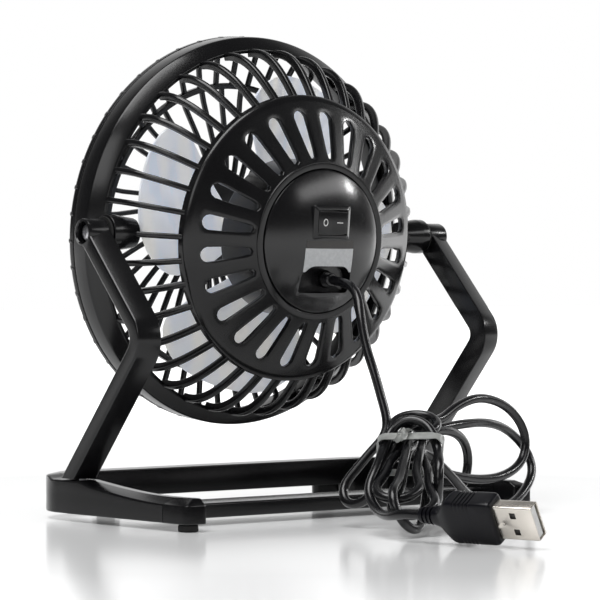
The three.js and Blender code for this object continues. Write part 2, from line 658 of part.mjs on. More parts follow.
function motorScrew(side) {
  const headBack = CUP_FRONT_Y - GAP;
  const headFront = headBack - MOTOR_SCREW_HEAD;
  const tip = MOTOR_FRONT + MOTOR_SCREW_BITE;
  return revolve([
    [0, headFront], [MOTOR_SCREW_HEAD_R, headFront], [MOTOR_SCREW_HEAD_R, headBack],
    [MOTOR_SCREW_R, headBack], [MOTOR_SCREW_R, tip], [0, tip],
  ], 12).translate(side * MOTOR_SCREW_CIRCLE, 0, 0);
}

// ---------------------------------------------------------------- rotor

const HUB_FRONT = FAN_DISC_Y + FAN_SHEET + GAP;
const HUB_REAR = CUP_FRONT_Y - MOTOR_SCREW_HEAD - GAP - HUB_CLEARANCE;
const SPIGOT_TIP = HUB_FRONT - HUB_SPIGOT_LENGTH;

function motorShaft() {
  return revolve(bar(SHAFT_R, SPIGOT_TIP + 1, MOTOR_FRONT + SHAFT_REAR), 14);
}

function impellerHub() {
  const bore = SHAFT_R + GAP;
  return revolve([
    [bore, SPIGOT_TIP], [HUB_SPIGOT_R, SPIGOT_TIP], [HUB_SPIGOT_R, HUB_FRONT], [HUB_R, HUB_FRONT],
    [HUB_R, HUB_FRONT + 2.4], [HUB_R - 3.6, HUB_REAR], [bore, HUB_REAR],
  ], 20);
}

function hubNut() {
  const back = FAN_DISC_Y - GAP;
  const bore = HUB_SPIGOT_R + GAP;
  const pocket = SPIGOT_TIP - GAP;
  const front = back - HUB_NUT_LENGTH;
  return revolve([
    [0, front], [HUB_NUT_R * 0.5, front + 0.4], [HUB_NUT_R - 0.6, front + 1.8],
    [HUB_NUT_R, back], [bore, back], [bore, pocket], [0, pocket],
  ], 20);
}

// One blade: rows from the disc to the tip, each an arc of sheet that runs from front to rear.
function blade(angle) {
  const rows = [0, 0.2, 0.45, 0.72, 0.9, 1];
  const cells = 5;
  return loft(rows.map((share) => {
    const r = THREE.MathUtils.lerp(FAN_DISC_R - 2.5, FAN_R, share);
    const growth = Math.sin(Math.min(share / 0.6, 1) * Math.PI / 2);
    const trim = Math.sqrt(Math.max(1 - Math.max((share - 0.72) / 0.2836, 0) ** 2, 0));
    const sweep = THREE.MathUtils.lerp(34, FAN_SWEEP, growth) * (0.3 + 0.7 * trim) * RAD;
    const depth = THREE.MathUtils.lerp(2.4, FAN_DEPTH, growth) * (0.3 + 0.7 * trim);
    const middle = angle + THREE.MathUtils.lerp(0, 10, share) * RAD;
    const edge = Array.from({ length: cells + 1 }, (_, i) => i / cells - 0.5);
    const at = (t, lift) => {
      const turn = middle + t * sweep;
      const y = FAN_DISC_Y + FAN_SHEET / 2 - share * 0.4 - t * depth - 2.2 * share * (0.25 - t * t) + lift;
      return new THREE.Vector3(r * Math.cos(turn), y, r * Math.sin(turn));
    };
    return [...edge.map((t) => at(t, -FAN_SHEET / 2)), ...edge.reverse().map((t) => at(t, FAN_SHEET / 2))];
  }));
}

function fanImpeller() {
  const disc = revolve([
    [HUB_SPIGOT_R + GAP, FAN_DISC_Y], [FAN_DISC_R, FAN_DISC_Y],
    [FAN_DISC_R, FAN_DISC_Y + FAN_SHEET], [HUB_SPIGOT_R + GAP, FAN_DISC_Y + FAN_SHEET],
  ], 28);
  const turn = (i) => FAN_ANGLE * RAD + (i / FAN_BLADES) * 2 * Math.PI;
  const blades = Array.from({ length: FAN_BLADES }, (_, i) => blade(turn(i)));
  return join(disc, ...blades);
}

// ---------------------------------------------------------------- stand

const RAIL_BOTTOM = FOOT_HEIGHT;
const BASE_FRONT = -BASE_DEPTH / 2;
const BASE_REAR = BASE_DEPTH / 2;
const RAIL_STRAIGHT_END = BASE_FRONT + 28; // the rails run straight past the arms, then toe in
const RAIL_INNER_X = BASE_HALF_WIDTH - RAIL_WIDTH;
const toe = (y) => Math.max(y - RAIL_STRAIGHT_END, 0) * Math.tan(RAIL_TOE * RAD);
const CAP_SEAM = BASE_REAR - RAIL_CAP.length;
const REAR_BAR_FRONT = BASE_REAR - REAR_BAR_FROM_REAR;
const REAR_BAR_REAR = REAR_BAR_FRONT + REAR_BAR_DEPTH;

// Arm in its own frame: the pivot is at its origin and its inner face is at X = 0.
function armSection(centre, along) {
  const across = new THREE.Vector2(-along.y, along.x); // towards the rear
  const at = (x, offset) => new THREE.Vector3(x, centre.x + across.x * offset, centre.y + across.y * offset);
  const half = ARM_WIDTH / 2;
  return [
    at(0, -half), at(ARM_THICKNESS - 1, ARM_BEVEL_FRONT * 0.88 - half),
    at(ARM_THICKNESS, ARM_BEVEL_FRONT + 0.6 - half), at(ARM_THICKNESS, half - ARM_BEVEL_REAR - 0.6),
    at(ARM_THICKNESS - 1, half - ARM_BEVEL_REAR * 0.88), at(0, half),
  ];
}

function armPath() {
  const upper = new THREE.Vector2(Math.sin(ARM_UPPER_ANGLE * RAD), -Math.cos(ARM_UPPER_ANGLE * RAD));
  const lower = new THREE.Vector2(-Math.sin(ARM_LOWER_ANGLE * RAD), -Math.cos(ARM_LOWER_ANGLE * RAD));
  const knee = upper.clone().multiplyScalar(ARM_UPPER_LENGTH);
  const drop = PIVOT_HEIGHT - RAIL_PAD_TOP - GAP + knee.y;
  const foot = knee.clone().addScaledVector(lower, drop / -lower.y);
  return { upper, lower, knee, foot };
}

function arm() {
  const { upper, lower, knee, foot } = armPath();
  const turn = (ARM_UPPER_ANGLE + ARM_LOWER_ANGLE) * RAD;
  const setback = ARM_KNEE_R * Math.tan(turn / 2);
  const start = knee.clone().addScaledVector(upper, -setback);
  const inward = new THREE.Vector2(upper.y, -upper.x); // towards the centre of the bend
  const centre = start.clone().addScaledVector(inward, ARM_KNEE_R);
  const steps = 5;
  const outlines = [armSection(new THREE.Vector2(0, 0), upper)];
  for (let i = 0; i <= steps; i++) {
    const angle = -turn * i / steps;
    const along = upper.clone().rotateAround(new THREE.Vector2(), angle);
    const point = start.clone().rotateAround(centre, angle);
    outlines.push(armSection(point, along));
  }
  // The foot is cut level with the pad that it stands on.
  outlines.push(armSection(foot, lower).map((corner) => {
    const slide = (corner.z - foot.y) / -lower.y;
    return corner.clone().add(new THREE.Vector3(0, lower.x * slide, lower.y * slide));
  }));
  const eye = revolveX([
    [0, 0], [ARM_EYE_R, 0], [ARM_EYE_R, ARM_THICKNESS - 0.6],
    [ARM_EYE_R - 0.6, ARM_THICKNESS], [0, ARM_THICKNESS],
  ], 24);
  const recess = revolveX(bar(PIVOT_RECESS_R, ARM_THICKNESS - PIVOT_RECESS_DEPTH, ARM_THICKNESS + 1), 20);
  const bore = revolveX(bar(PIVOT_SCREW_R + GAP, -1, ARM_THICKNESS), 14);
  const screw = armScrewHole(foot).translate(-ARM_INNER_X, 0, 0);
  return cut(join(loft(outlines), eye), recess, bore, screw);
}

// Screw that holds an arm on its rail, from below: axis in the arm's frame, X from the middle of the base.
const ARM_SCREW_X = BASE_HALF_WIDTH - ARM_SCREW_IN;

function armScrewHole(foot) {
  return revolveZ(bar(ARM_SCREW_R + GAP, foot.y - 1, foot.y + ARM_SCREW_BITE + 0.5), 14)
    .translate(ARM_SCREW_X, foot.x + ARM_SCREW_OFFSET, 0);
}

// Mirror image, with its faces still pointing out.
function mirrored(geometry) {
  return closed(geometry).scale(-1, 1, 1);
}

const onSide = (side, geometry) => (side > 0 ? geometry : mirrored(geometry));

// Height of the rails' crown along the base.
function crownZ(y) {
  const start = PIVOT_Y + RAIL_DIP_START;
  const share = THREE.MathUtils.clamp((y - start) / (PIVOT_Y + RAIL_DIP_END - start), 0, 1);
  return THREE.MathUtils.lerp(RAIL_PAD_TOP, RAIL_REAR_TOP, Math.sin(share * Math.PI / 2));
}

// Outline of half the base seen from above, from the middle of the front to the end of the rail.
function basePlan() {
  const [x, y, r] = [BASE_HALF_WIDTH, BASE_FRONT, FRONT_CORNER_R];
  const seam = CAP_SEAM;
  const rearOuter = x - toe(seam);
  const rearInner = rearOuter - RAIL_WIDTH;
  const shape = new THREE.Shape();
  shape.moveTo(r - x, y);
  shape.lineTo(x - r, y).absarc(x - r, y + r, r, -Math.PI / 2, 0);
  shape.lineTo(x, RAIL_STRAIGHT_END);
  shape.lineTo(rearOuter, seam);
  shape.lineTo(rearInner, seam);
  shape.lineTo(x - RAIL_WIDTH - toe(REAR_BAR_REAR), REAR_BAR_REAR);
  shape.lineTo(RAIL_WIDTH + toe(REAR_BAR_REAR) - x, REAR_BAR_REAR);
  shape.lineTo(-rearInner, seam);
  shape.lineTo(-rearOuter, seam);
  shape.lineTo(-x, RAIL_STRAIGHT_END);
  shape.lineTo(-x, y + r).absarc(r - x, y + r, r, Math.PI, Math.PI * 1.5);
  const inner = RAIL_INNER_X;
  const front = y + FRONT_BAR_DEPTH;
  const q = FRONT_INNER_R;
  const rear = inner - toe(REAR_BAR_FRONT);
  const window = new THREE.Path();
  window.moveTo(-rear, REAR_BAR_FRONT);
  window.lineTo(-inner, RAIL_STRAIGHT_END);
  window.lineTo(-inner, front + q).absarc(q - inner, front + q, q, Math.PI, Math.PI * 1.5);
  window.lineTo(inner - q, front).absarc(inner - q, front + q, q, -Math.PI / 2, 0);
  window.lineTo(inner, RAIL_STRAIGHT_END);
  window.lineTo(rear, REAR_BAR_FRONT);
  shape.holes.push(window);
  return shape;
}

// What lies above the crown line, across the whole base.
function aboveCrown() {
  const ramp = BASE_FRONT + FRONT_BAR_DEPTH + 1;
  const pad = ramp + 4;
  const shape = new THREE.Shape();
  const high = FRONT_BAR_TOP + 6;
  const points = [
    [BASE_FRONT - 1, FRONT_BAR_TOP - 1.2], [BASE_FRONT + 2, FRONT_BAR_TOP],
    [ramp, FRONT_BAR_TOP], [pad, RAIL_PAD_TOP],
  ];
  for (let i = 0; i <= 8; i++) {
    const y = THREE.MathUtils.lerp(PIVOT_Y + RAIL_DIP_START, PIVOT_Y + RAIL_DIP_END, i / 8);
    points.push([y, crownZ(y)]);
  }
  points.push([BASE_REAR + 1, RAIL_REAR_TOP], [BASE_REAR + 1, high], [BASE_FRONT - 1, high]);
  points.forEach(([y, z], i) => (i ? shape.lineTo(-z, y) : shape.moveTo(-z, y)));
  const wide = BASE_HALF_WIDTH + 2;
  return layer(shape, -wide, wide).rotateY(Math.PI / 2);
}

// Sloping outer top edge of a rail: everything outside the crown line and above the slope.
function railBevel(from, to, steps) {
  return loft(Array.from({ length: steps + 1 }, (_, i) => {
    const y = THREE.MathUtils.lerp(from, to, i / steps);
    const dip = (y - PIVOT_Y - RAIL_DIP_START) / (RAIL_DIP_END - RAIL_DIP_START);
    const drop = THREE.MathUtils.lerp(RAIL_BEVEL_FRONT, RAIL_BEVEL_REAR, THREE.MathUtils.clamp(dip, 0, 1));
    const outer = BASE_HALF_WIDTH - toe(y);
    const crown = outer - RAIL_CROWN;
    const past = 2;
    const slope = drop / RAIL_CROWN;
    const top = crownZ(y);
    return [
      new THREE.Vector3(crown, y, top),
      new THREE.Vector3(outer + past, y, top - drop - slope * past),
      new THREE.Vector3(outer + past, y, top + 9),
      new THREE.Vector3(crown, y, top + 9),
    ];
  }));
}

const FOOT_BORE = { r: FOOT_STUB_R + GAP, depth: FOOT_STUB + GAP };
const REAR_FOOT = { x: BASE_HALF_WIDTH - toe(BASE_REAR - 4.5) - RAIL_WIDTH / 2, y: BASE_REAR - 4.5 };
const FRONT_FOOT = { x: FRONT_FOOT_X, y: BASE_FRONT + FRONT_BAR_DEPTH / 2 };

function footBore({ x, y }) {
  return revolveZ(bar(FOOT_BORE.r, RAIL_BOTTOM - 1, RAIL_BOTTOM + FOOT_BORE.depth), 16).translate(x, y, 0);
}

function baseFrame() {
  const blank = layer(basePlan(), RAIL_BOTTOM, FRONT_BAR_TOP + 1, 4);
  const between = RAIL_INNER_X - toe(REAR_BAR_REAR) - 0.01;
  const rearBar = [REAR_BAR_FRONT - 1, REAR_BAR_REAR + 1];
  const overRearBar = box([-between, between], rearBar, [REAR_BAR_TOP, FRONT_BAR_TOP + 9]);
  const underFront = cut(
    box(
      [-RAIL_INNER_X + 12, RAIL_INNER_X - 12],
      [BASE_FRONT - 1, BASE_FRONT + FRONT_BAR_DEPTH + 1],
      [0, FRONT_BAR_BOTTOM],
    ),
    ...[-1, 1].map((side) => revolveZ(bar(FRONT_FOOT_BOSS_R, -1, FRONT_BAR_BOTTOM + 1), 24)
      .translate(side * FRONT_FOOT.x, FRONT_FOOT.y, 0)),
  );
  const screwY = PIVOT_Y + armPath().foot.x + ARM_SCREW_OFFSET;
  const hole = (r, from, to, segments) =>
    revolveZ(bar(r, from, to), segments).translate(ARM_SCREW_X, screwY, 0);
  const sideTools = (side) => [
    railBevel(PIVOT_Y + RAIL_DIP_START, BASE_REAR + 1, 8),
    hole(ARM_SCREW_R + GAP, RAIL_BOTTOM, RAIL_PAD_TOP + 1, 14),
    hole(ARM_SCREW_HEAD_R + 0.4, RAIL_BOTTOM - 1, RAIL_BOTTOM + ARM_SCREW_RECESS, 18),
    footBore(FRONT_FOOT),
    capTongue(GAP),
  ].map((tool) => onSide(side, tool));
  return cut(blank, aboveCrown(), overRearBar, underFront, ...sideTools(-1), ...sideTools(1));
}

// Middle of a rail at the seam of its end cap.
function capTongue(margin) {
  const x = BASE_HALF_WIDTH - toe(CAP_SEAM) - RAIL_WIDTH / 2;
  const [halfWidth, height] = [RAIL_CAP.tongueWidth / 2 + margin, RAIL_CAP.tongueHeight + 2 * margin];
  const bottom = RAIL_BOTTOM + 2 - margin;
  const front = CAP_SEAM - RAIL_CAP.tongue - margin;
  return box([x - halfWidth, x + halfWidth], [front, CAP_SEAM + 2], [bottom, bottom + height]);
}

function railEnd() {
  const [front, rear, r] = [CAP_SEAM + GAP, BASE_REAR, 2.6];
  const outer = (y) => BASE_HALF_WIDTH - toe(y);
  const shape = new THREE.Shape();
  shape.moveTo(outer(front) - RAIL_WIDTH, front);
  shape.lineTo(outer(front), front);
  shape.lineTo(outer(rear - r), rear - r);
  shape.quadraticCurveTo(outer(rear), rear, outer(rear) - r, rear);
  shape.lineTo(outer(rear) - RAIL_WIDTH + r, rear);
  shape.quadraticCurveTo(outer(rear) - RAIL_WIDTH, rear, outer(rear - r) - RAIL_WIDTH, rear - r);
  const block = layer(shape, RAIL_BOTTOM, RAIL_REAR_TOP + 1, 4);
  return cut(join(block, capTongue(0)), aboveCrown(), railBevel(front - 8, rear + 1, 3), footBore(REAR_FOOT));
}

function foot({ x, y }) {
  const top = RAIL_BOTTOM - GAP;
  return revolveZ([
    [0, 0], [FOOT_R - 0.5, 0], [FOOT_R, 0.5], [FOOT_R, top], [FOOT_STUB_R, top],
    [FOOT_STUB_R, top + FOOT_STUB], [0, top + FOOT_STUB],
  ], 16).translate(x, y, 0);
}

function armScrew() {
  const { foot: end } = armPath();
  const y = PIVOT_Y + end.x + ARM_SCREW_OFFSET;
  const headTop = RAIL_BOTTOM + ARM_SCREW_RECESS - GAP;
  return revolveZ([
    [0, headTop - ARM_SCREW_HEAD], [ARM_SCREW_HEAD_R, headTop - ARM_SCREW_HEAD], [ARM_SCREW_HEAD_R, headTop],
    [ARM_SCREW_R, headTop], [ARM_SCREW_R, RAIL_PAD_TOP + ARM_SCREW_BITE], [0, RAIL_PAD_TOP + ARM_SCREW_BITE],
  ], 14).translate(ARM_SCREW_X, y, 0);
}

function pivotWasher() {
  return revolveX([
    [PIVOT_SCREW_R + GAP, WASHER_X], [WASHER_R, WASHER_X], [WASHER_R, WASHER_X + WASHER_THICKNESS],
    [PIVOT_SCREW_R + GAP, WASHER_X + WASHER_THICKNESS],
  ], 20);
}

function pivotScrew() {
  const tip = BOSS_INNER_X + 1;
  const seat = BASE_HALF_WIDTH - PIVOT_RECESS_DEPTH + GAP;
  const top = seat + PIVOT_HEAD_HEIGHT;
  return revolveX([
    [0, tip], [PIVOT_SCREW_R, tip], [PIVOT_SCREW_R, seat], [PIVOT_HEAD_R, seat],
    [PIVOT_HEAD_R, seat + PIVOT_HEAD_HEIGHT * 0.6], [PIVOT_HEAD_R * 0.6, top], [0, top],
  ], 16);
}

// ---------------------------------------------------------------- lead and plug

// Where a point of the head lies on the fan as it stands.
function fromHead(x, y, z) {
  return new THREE.Vector3(x, y, z).applyAxisAngle(new THREE.Vector3(1, 0, 0), HEAD_TILT * RAD)
    .add(new THREE.Vector3(0, PIVOT_Y, PIVOT_HEIGHT));
}

// Routes of the lead that lie loose. The first one starts at the strain relief.
const LEAD_START = fromHead(RELIEF.x, RELIEF.tip + GAP, RELIEF.z);
const RUN = [
  [-3, 30, 81.6], [-1.2, 37, 78.4], [1.6, 43, 72.2], [3.6, 47.6, 63.6], [3.6, 51, 54], [3, 54, 45],
  [3, 57, 37], [3.4, 58.8, 31],
];
const SIDE_LOOP = [
  [3.6, 59.3, 29.7], [4.8, 59.3, 27.9], [8.6, 58.2, 25.4], [14, 57.2, 20.4], [19, 57, 13.6],
  [22.2, 58.6, 8.4], [21.6, 62.4, 6.4], [18.8, 65.4, 9.6], [16.6, 67.8, 15.4], [14.8, 71, 20.8],
];
const LOOPS = [
  [-5, 63.6, 33.6], [-12, 61, 34.4], [-21.4, 58.5, 34.8], [-30, 56.5, 38.4], [-41.1, 54.5, 41.2],
  [-52.3, 52.5, 40.1], [-62.8, 50.5, 35.5], [-68.1, 50.5, 28.6], [-68.2, 50.8, 21.6], [-62.4, 52.8, 16.6],
  [-52.9, 55, 13.8], [-40.8, 57.8, 13.4], [-28.8, 61, 14.8], [-18, 63.3, 17.2], [-10.6, 62.8, 21],
  [-7, 61.4, 25.8], [-9.8, 59.8, 29.6], [-16, 58.8, 31], [-23.7, 57.2, 31.8], [-36, 54.6, 32.6],
  [-51.2, 49, 32.3], [-63.5, 44.6, 30], [-72.6, 42.5, 25.3], [-77.5, 43.5, 18.7], [-75.2, 46.6, 12.8],
  [-67, 50.5, 6.8], [-57, 54.5, 3.4], [-47, 58.5, 3], [-38, 62.3, 4.6], [-28.5, 66, 8.6],
  [-21.3, 69, 12.5], [-15, 71, 16.6], [-9.6, 72, 20.2], [-6.2, 72.2, 22.6],
];
const SMALL_LOOP = [
  [-6.8, 66.8, 28.6], [-11.6, 64.9, 30.4], [-17, 62.9, 31.2], [-23.8, 60.7, 30.7], [-30.5, 57.8, 28.9],
  [-35.8, 55.2, 25.6], [-38.4, 54, 20.8], [-37.5, 54.1, 15.4], [-33.4, 56.2, 10.6], [-27, 60, 7.4],
  [-17.1, 66, 5.2], [-7.8, 73, 4.6], [0.4, 80.6, 5.8], [5, 86.4, 8.8], [7.6, 90.8, 12.6],
];
const TAIL = [
  [31.1, 86.3, 12.1], [35.6, 87.6, 10], [40.6, 93, 8.6], [43.4, 100, 7.6], [43.8, 107, 7.4],
  [42.4, 114, 8.2],
];

// Evenly placed sections of the lead along a smooth line through its points.
function tube(points) {
  const knots = points.map((point) => new THREE.Vector3(...point));
  const path = new THREE.CatmullRomCurve3(knots, false, "centripetal");
  const section = new THREE.Shape().absarc(0, 0, CORD_D / 2, 0, 2 * Math.PI);
  const steps = Math.max(Math.round(path.getLength() / CORD_STEP), 2);
  return new THREE.ExtrudeGeometry(section, { steps, extrudePath: path, curveSegments: 4 });
}

// Axes of the hank: along its runs, across its flat side, and out of that side.
function hankPlace() {
  const top = new THREE.Vector3(...HANK_TOP);
  const along = new THREE.Vector3(...HANK_FOOT).sub(top);
  const length = along.length();
  along.normalize();
  const across = new THREE.Vector3(along.y, -along.x, 0).normalize();
  const out = along.clone().cross(across);
  return { length, place: new THREE.Matrix4().makeBasis(along, across, out).setPosition(top) };
}

function hank() {
  const { length, place } = hankPlace();
  const r = HANK_WIDTH / 2;
  const shape = new THREE.Shape();
  shape.absarc(length, 0, r, -Math.PI / 2, Math.PI / 2);
  shape.absarc(0, 0, r, Math.PI / 2, Math.PI * 1.5);
  return layer(shape, -HANK_THICKNESS / 2, HANK_THICKNESS / 2, 8).applyMatrix4(place);
}

function tie() {
  const { place } = hankPlace();
  const around = (margin, from, to) => {
    const [y, z] = [HANK_WIDTH / 2 + margin, HANK_THICKNESS / 2 + margin];
    return box([from, to], [-y, y], [-z, z]);
  };
  const end = TIE.from + TIE.width;
  return cut(around(GAP + TIE.wall, TIE.from, end), around(GAP, TIE.from - 1, end + 1)).applyMatrix4(place);
}

// Flat oval section of the plug's grip, across X in the plug's frame.
function gripSection(x, halfThickness, halfWidth, squareness) {
  const count = 20;
  const power = (value) => Math.sign(value) * Math.abs(value) ** (2 / squareness);
  return Array.from({ length: count }, (_, i) => {
    const angle = (i + 0.5) / count * 2 * Math.PI;
    return new THREE.Vector3(x, halfThickness * power(Math.cos(angle)), halfWidth * power(Math.sin(angle)));
  });
}

// The plug lies along +X in its own frame, with the shell's root at the origin.
function usbGrip() {
  const { width, thickness, length, shoulder, neck, neckR } = USB_GRIP;
  const [y, z] = [thickness / 2, width / 2];
  const body = loft([
    gripSection(-length - neck, CORD_D / 2 + 0.8, CORD_D / 2 + 0.8, 2), gripSection(-length, neckR, neckR, 2),
    gripSection(-length + 0.6, neckR + 0.6, neckR + 1.2, 2.4), gripSection(-length + shoulder, y, z - 0.4, 5),
    gripSection(-0.6, y, z, 7), gripSection(0, y - 0.5, z - 0.5, 7),
  ]);
  const pocket = USB_SHELL.buried + GAP;
  const [py, pz] = [USB_SHELL.thickness / 2 + GAP, USB_SHELL.width / 2 + GAP];
  return cut(body, box([-pocket, 1], [-py, py], [-pz, pz]));
}

function usbShell() {
  const { width, thickness, length, buried, wall } = USB_SHELL;
  const section = (margin) => roundedRectangle(width - 2 * margin, thickness - 2 * margin, 0.6 - margin);
  const outline = section(0);
  outline.holes.push(section(wall));
  return layer(outline, -buried, length, 3).rotateY(Math.PI / 2);
}

function usbTongue() {
  const { width, thickness, length, buried, wall, tongue } = USB_SHELL;
  const [side, low] = [width / 2 - wall - GAP, -thickness / 2 + wall + GAP];
  return box([-buried, length - 0.8], [low, low + tongue], [-side, side]);
}

const PLUG_TURN = new THREE.Euler(USB_ROLL * RAD, 0, USB_HEADING * RAD, "ZYX");
const leadEnd = new THREE.Vector3(-USB_GRIP.length - USB_GRIP.neck - GAP, 0, 0)
  .applyEuler(PLUG_TURN).add(new THREE.Vector3(...USB_PLACE));

// ---------------------------------------------------------------- assembly

function group(place, ...children) {
  const holder = new THREE.Group();
  holder.position.set(...place);
  holder.add(...children);
  return holder;
}

const rockerTurn = group([0, ROCKER_Y, 0], piece("switch_rocker", switchRocker(), GLOSS_BLACK));
rockerTurn.rotation.z = -ROCKER_ANGLE * RAD;

const powerSwitch = group(
  [0, 0, SWITCH_Z],
  piece("switch_housing", switchHousing(), SATIN_BLACK),
  rockerTurn,
  piece("switch_terminal_left", terminal(-1, 0), STEEL),
  piece("switch_terminal_right", terminal(1, 0), STEEL),
);

const rotor = group(
  [0, 0, 0],
  piece("fan_impeller", fanImpeller(), ALUMINIUM),
  piece("impeller_hub", impellerHub(), SATIN_BLACK),
  piece("hub_nut", hubNut(), SATIN_BLACK),
  piece("motor_shaft", motorShaft(), STEEL),
);

const head = group(
  [0, PIVOT_Y, PIVOT_HEIGHT],
  ...rearCage().map((sector, i) => piece(`rear_cage_${i + 1}`, sector, SATIN_BLACK)),
  piece("rear_plate", rearPlate(), SATIN_BLACK),
  piece("front_grille", frontGrille(), SATIN_BLACK),
  piece("motor_cover", motorCover(), GLOSS_BLACK),
  piece("strain_relief", strainRelief(), SATIN_BLACK),
  piece("motor_body", motorBody(), STEEL),
  piece("motor_bush", motorBush(), STEEL),
  piece("motor_screw_left", motorScrew(-1), STEEL),
  piece("motor_screw_right", motorScrew(1), STEEL),
  powerSwitch,
  rotor,
);
head.rotation.x = HEAD_TILT * RAD;

// The right-hand side is +X: the right of someone who faces the grille.
function sidePieces(side) {
  const name = side > 0 ? "right" : "left";
  const mesh = (part, geometry, material) => piece(`${part}_${name}`, onSide(side, geometry), material);
  const pivots = [
    mesh("arm", arm().translate(ARM_INNER_X, 0, 0), SATIN_BLACK),
    mesh("pivot_washer", pivotWasher(), STEEL),
    mesh("pivot_screw", pivotScrew(), STEEL),
  ];
  return group(
    [0, 0, 0],
    group([0, PIVOT_Y, PIVOT_HEIGHT], ...pivots),
    mesh("arm_screw", armScrew(), STEEL),
    mesh("rail_end", railEnd(), SATIN_BLACK),
    mesh("foot_rear", foot(REAR_FOOT), RUBBER),
    mesh("foot_front", foot(FRONT_FOOT), RUBBER),
  );
}

const plug = group(
  USB_PLACE,
  piece("usb_grip", usbGrip(), CORD_BLACK),
  piece("usb_shell", usbShell(), NICKEL),
  piece("usb_tongue", usbTongue(), SATIN_BLACK),
);
plug.rotation.copy(PLUG_TURN);

const lead = group(
  [0, 0, 0],
  piece("cord_run", tube([LEAD_START.toArray(), ...RUN]), CORD_BLACK),
  piece("cord_side_loop", tube(SIDE_LOOP), CORD_BLACK),
  piece("cord_hank", hank(), CORD_BLACK),
  piece("cord_loops", tube(LOOPS), CORD_BLACK),
  piece("cord_small_loop", tube(SMALL_LOOP), CORD_BLACK),
  piece("cord_tail", tube([...TAIL, leadEnd.toArray()]), CORD_BLACK),
  piece("cord_tie", tie(), SATIN_BLACK),
  plug,
);

const deskFan = new THREE.Group();
deskFan.name = "desk_fan";
deskFan.add(piece("base_frame", baseFrame(), SATIN_BLACK), sidePieces(1), sidePieces(-1), head, lead);

export default deskFan;
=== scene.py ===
"""A small black desk fan on a chevron stand, with a rocker switch behind and a tied USB lead.

Lengths in the classes are millimetres, in the frame of the CAD model: +Z up, the fan blows towards -Y,
and the origin is on the surface that the feet stand on. The head's own frame has its origin on the tilt
axis and +Y behind.
"""

import json
import logging
from collections.abc import Iterable, Sequence
from dataclasses import dataclass, field
from enum import Enum
from math import atan2, copysign, cos, hypot, pi, radians, sin, sqrt, tan

import bmesh
import bpy
import numpy as np
from mathutils import Matrix, Vector

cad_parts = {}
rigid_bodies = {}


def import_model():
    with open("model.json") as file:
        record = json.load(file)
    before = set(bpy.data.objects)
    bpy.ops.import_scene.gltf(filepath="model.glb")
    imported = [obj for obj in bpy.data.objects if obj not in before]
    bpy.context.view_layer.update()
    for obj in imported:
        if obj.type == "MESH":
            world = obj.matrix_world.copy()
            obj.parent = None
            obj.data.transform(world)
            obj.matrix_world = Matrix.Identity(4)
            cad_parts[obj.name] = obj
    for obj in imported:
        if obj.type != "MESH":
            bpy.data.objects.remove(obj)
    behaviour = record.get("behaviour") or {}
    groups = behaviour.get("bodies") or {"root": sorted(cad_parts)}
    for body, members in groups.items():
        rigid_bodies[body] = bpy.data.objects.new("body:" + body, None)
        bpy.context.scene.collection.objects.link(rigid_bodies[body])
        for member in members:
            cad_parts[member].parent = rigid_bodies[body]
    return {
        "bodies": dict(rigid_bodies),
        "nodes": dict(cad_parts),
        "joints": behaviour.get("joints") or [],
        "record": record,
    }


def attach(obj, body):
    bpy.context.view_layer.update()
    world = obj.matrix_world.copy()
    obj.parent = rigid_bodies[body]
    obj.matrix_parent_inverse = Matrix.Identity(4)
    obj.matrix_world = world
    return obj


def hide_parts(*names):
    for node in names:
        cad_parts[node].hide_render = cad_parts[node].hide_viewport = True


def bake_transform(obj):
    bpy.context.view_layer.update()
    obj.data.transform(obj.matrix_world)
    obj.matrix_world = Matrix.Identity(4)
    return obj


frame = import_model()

log = logging.getLogger("desk_fan")
MM = 0.001
TURN = 2 * pi
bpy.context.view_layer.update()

Point = Sequence[float]
Pair = tuple[float, float]
Triple = tuple[float, float, float]
Profile = list[Pair]
Thing = bpy.types.Object
Material = bpy.types.Material


class Body(Enum):
    """The bodies that pieces move with."""

    STAND = "stand"
    HEAD = "head"
    ROTOR = "rotor"
    ROCKER = "rocker"


class Slot(Enum):
    """The record's material slots."""

    SATIN = "satin_black"
    GLOSS = "gloss_black"
    RUBBER = "rubber"
    CORD = "cord_black"
    ALUMINIUM = "aluminium"
    NICKEL = "nickel"
    STEEL = "steel"
    TIE = "clear_tie"


def lerp(a: float, b: float, share: float) -> float:
    """Value a share of the way from a to b."""
    return a + (b - a) * share


def clamp(value: float, low: float = 0.0, high: float = 1.0) -> float:
    """Value kept between low and high."""
    return max(low, min(high, value))


def smooth(share: float) -> float:
    """Share eased in and out."""
    share = clamp(share)
    return share * share * (3 - 2 * share)


def arc(centre: Point, radius: float, start: float, end: float, steps: int) -> Profile:
    """Points of a circular arc.

    Args:
        centre: Its centre.
        radius: Its radius.
        start: Angle of the first point, in degrees.
        end: Angle of the last point, in degrees.
        steps: Number of spaces between the points.

    Returns:
        The points, in order.
    """
    angles = [radians(lerp(start, end, i / steps)) for i in range(steps + 1)]
    return [(centre[0] + radius * cos(a), centre[1] + radius * sin(a)) for a in angles]


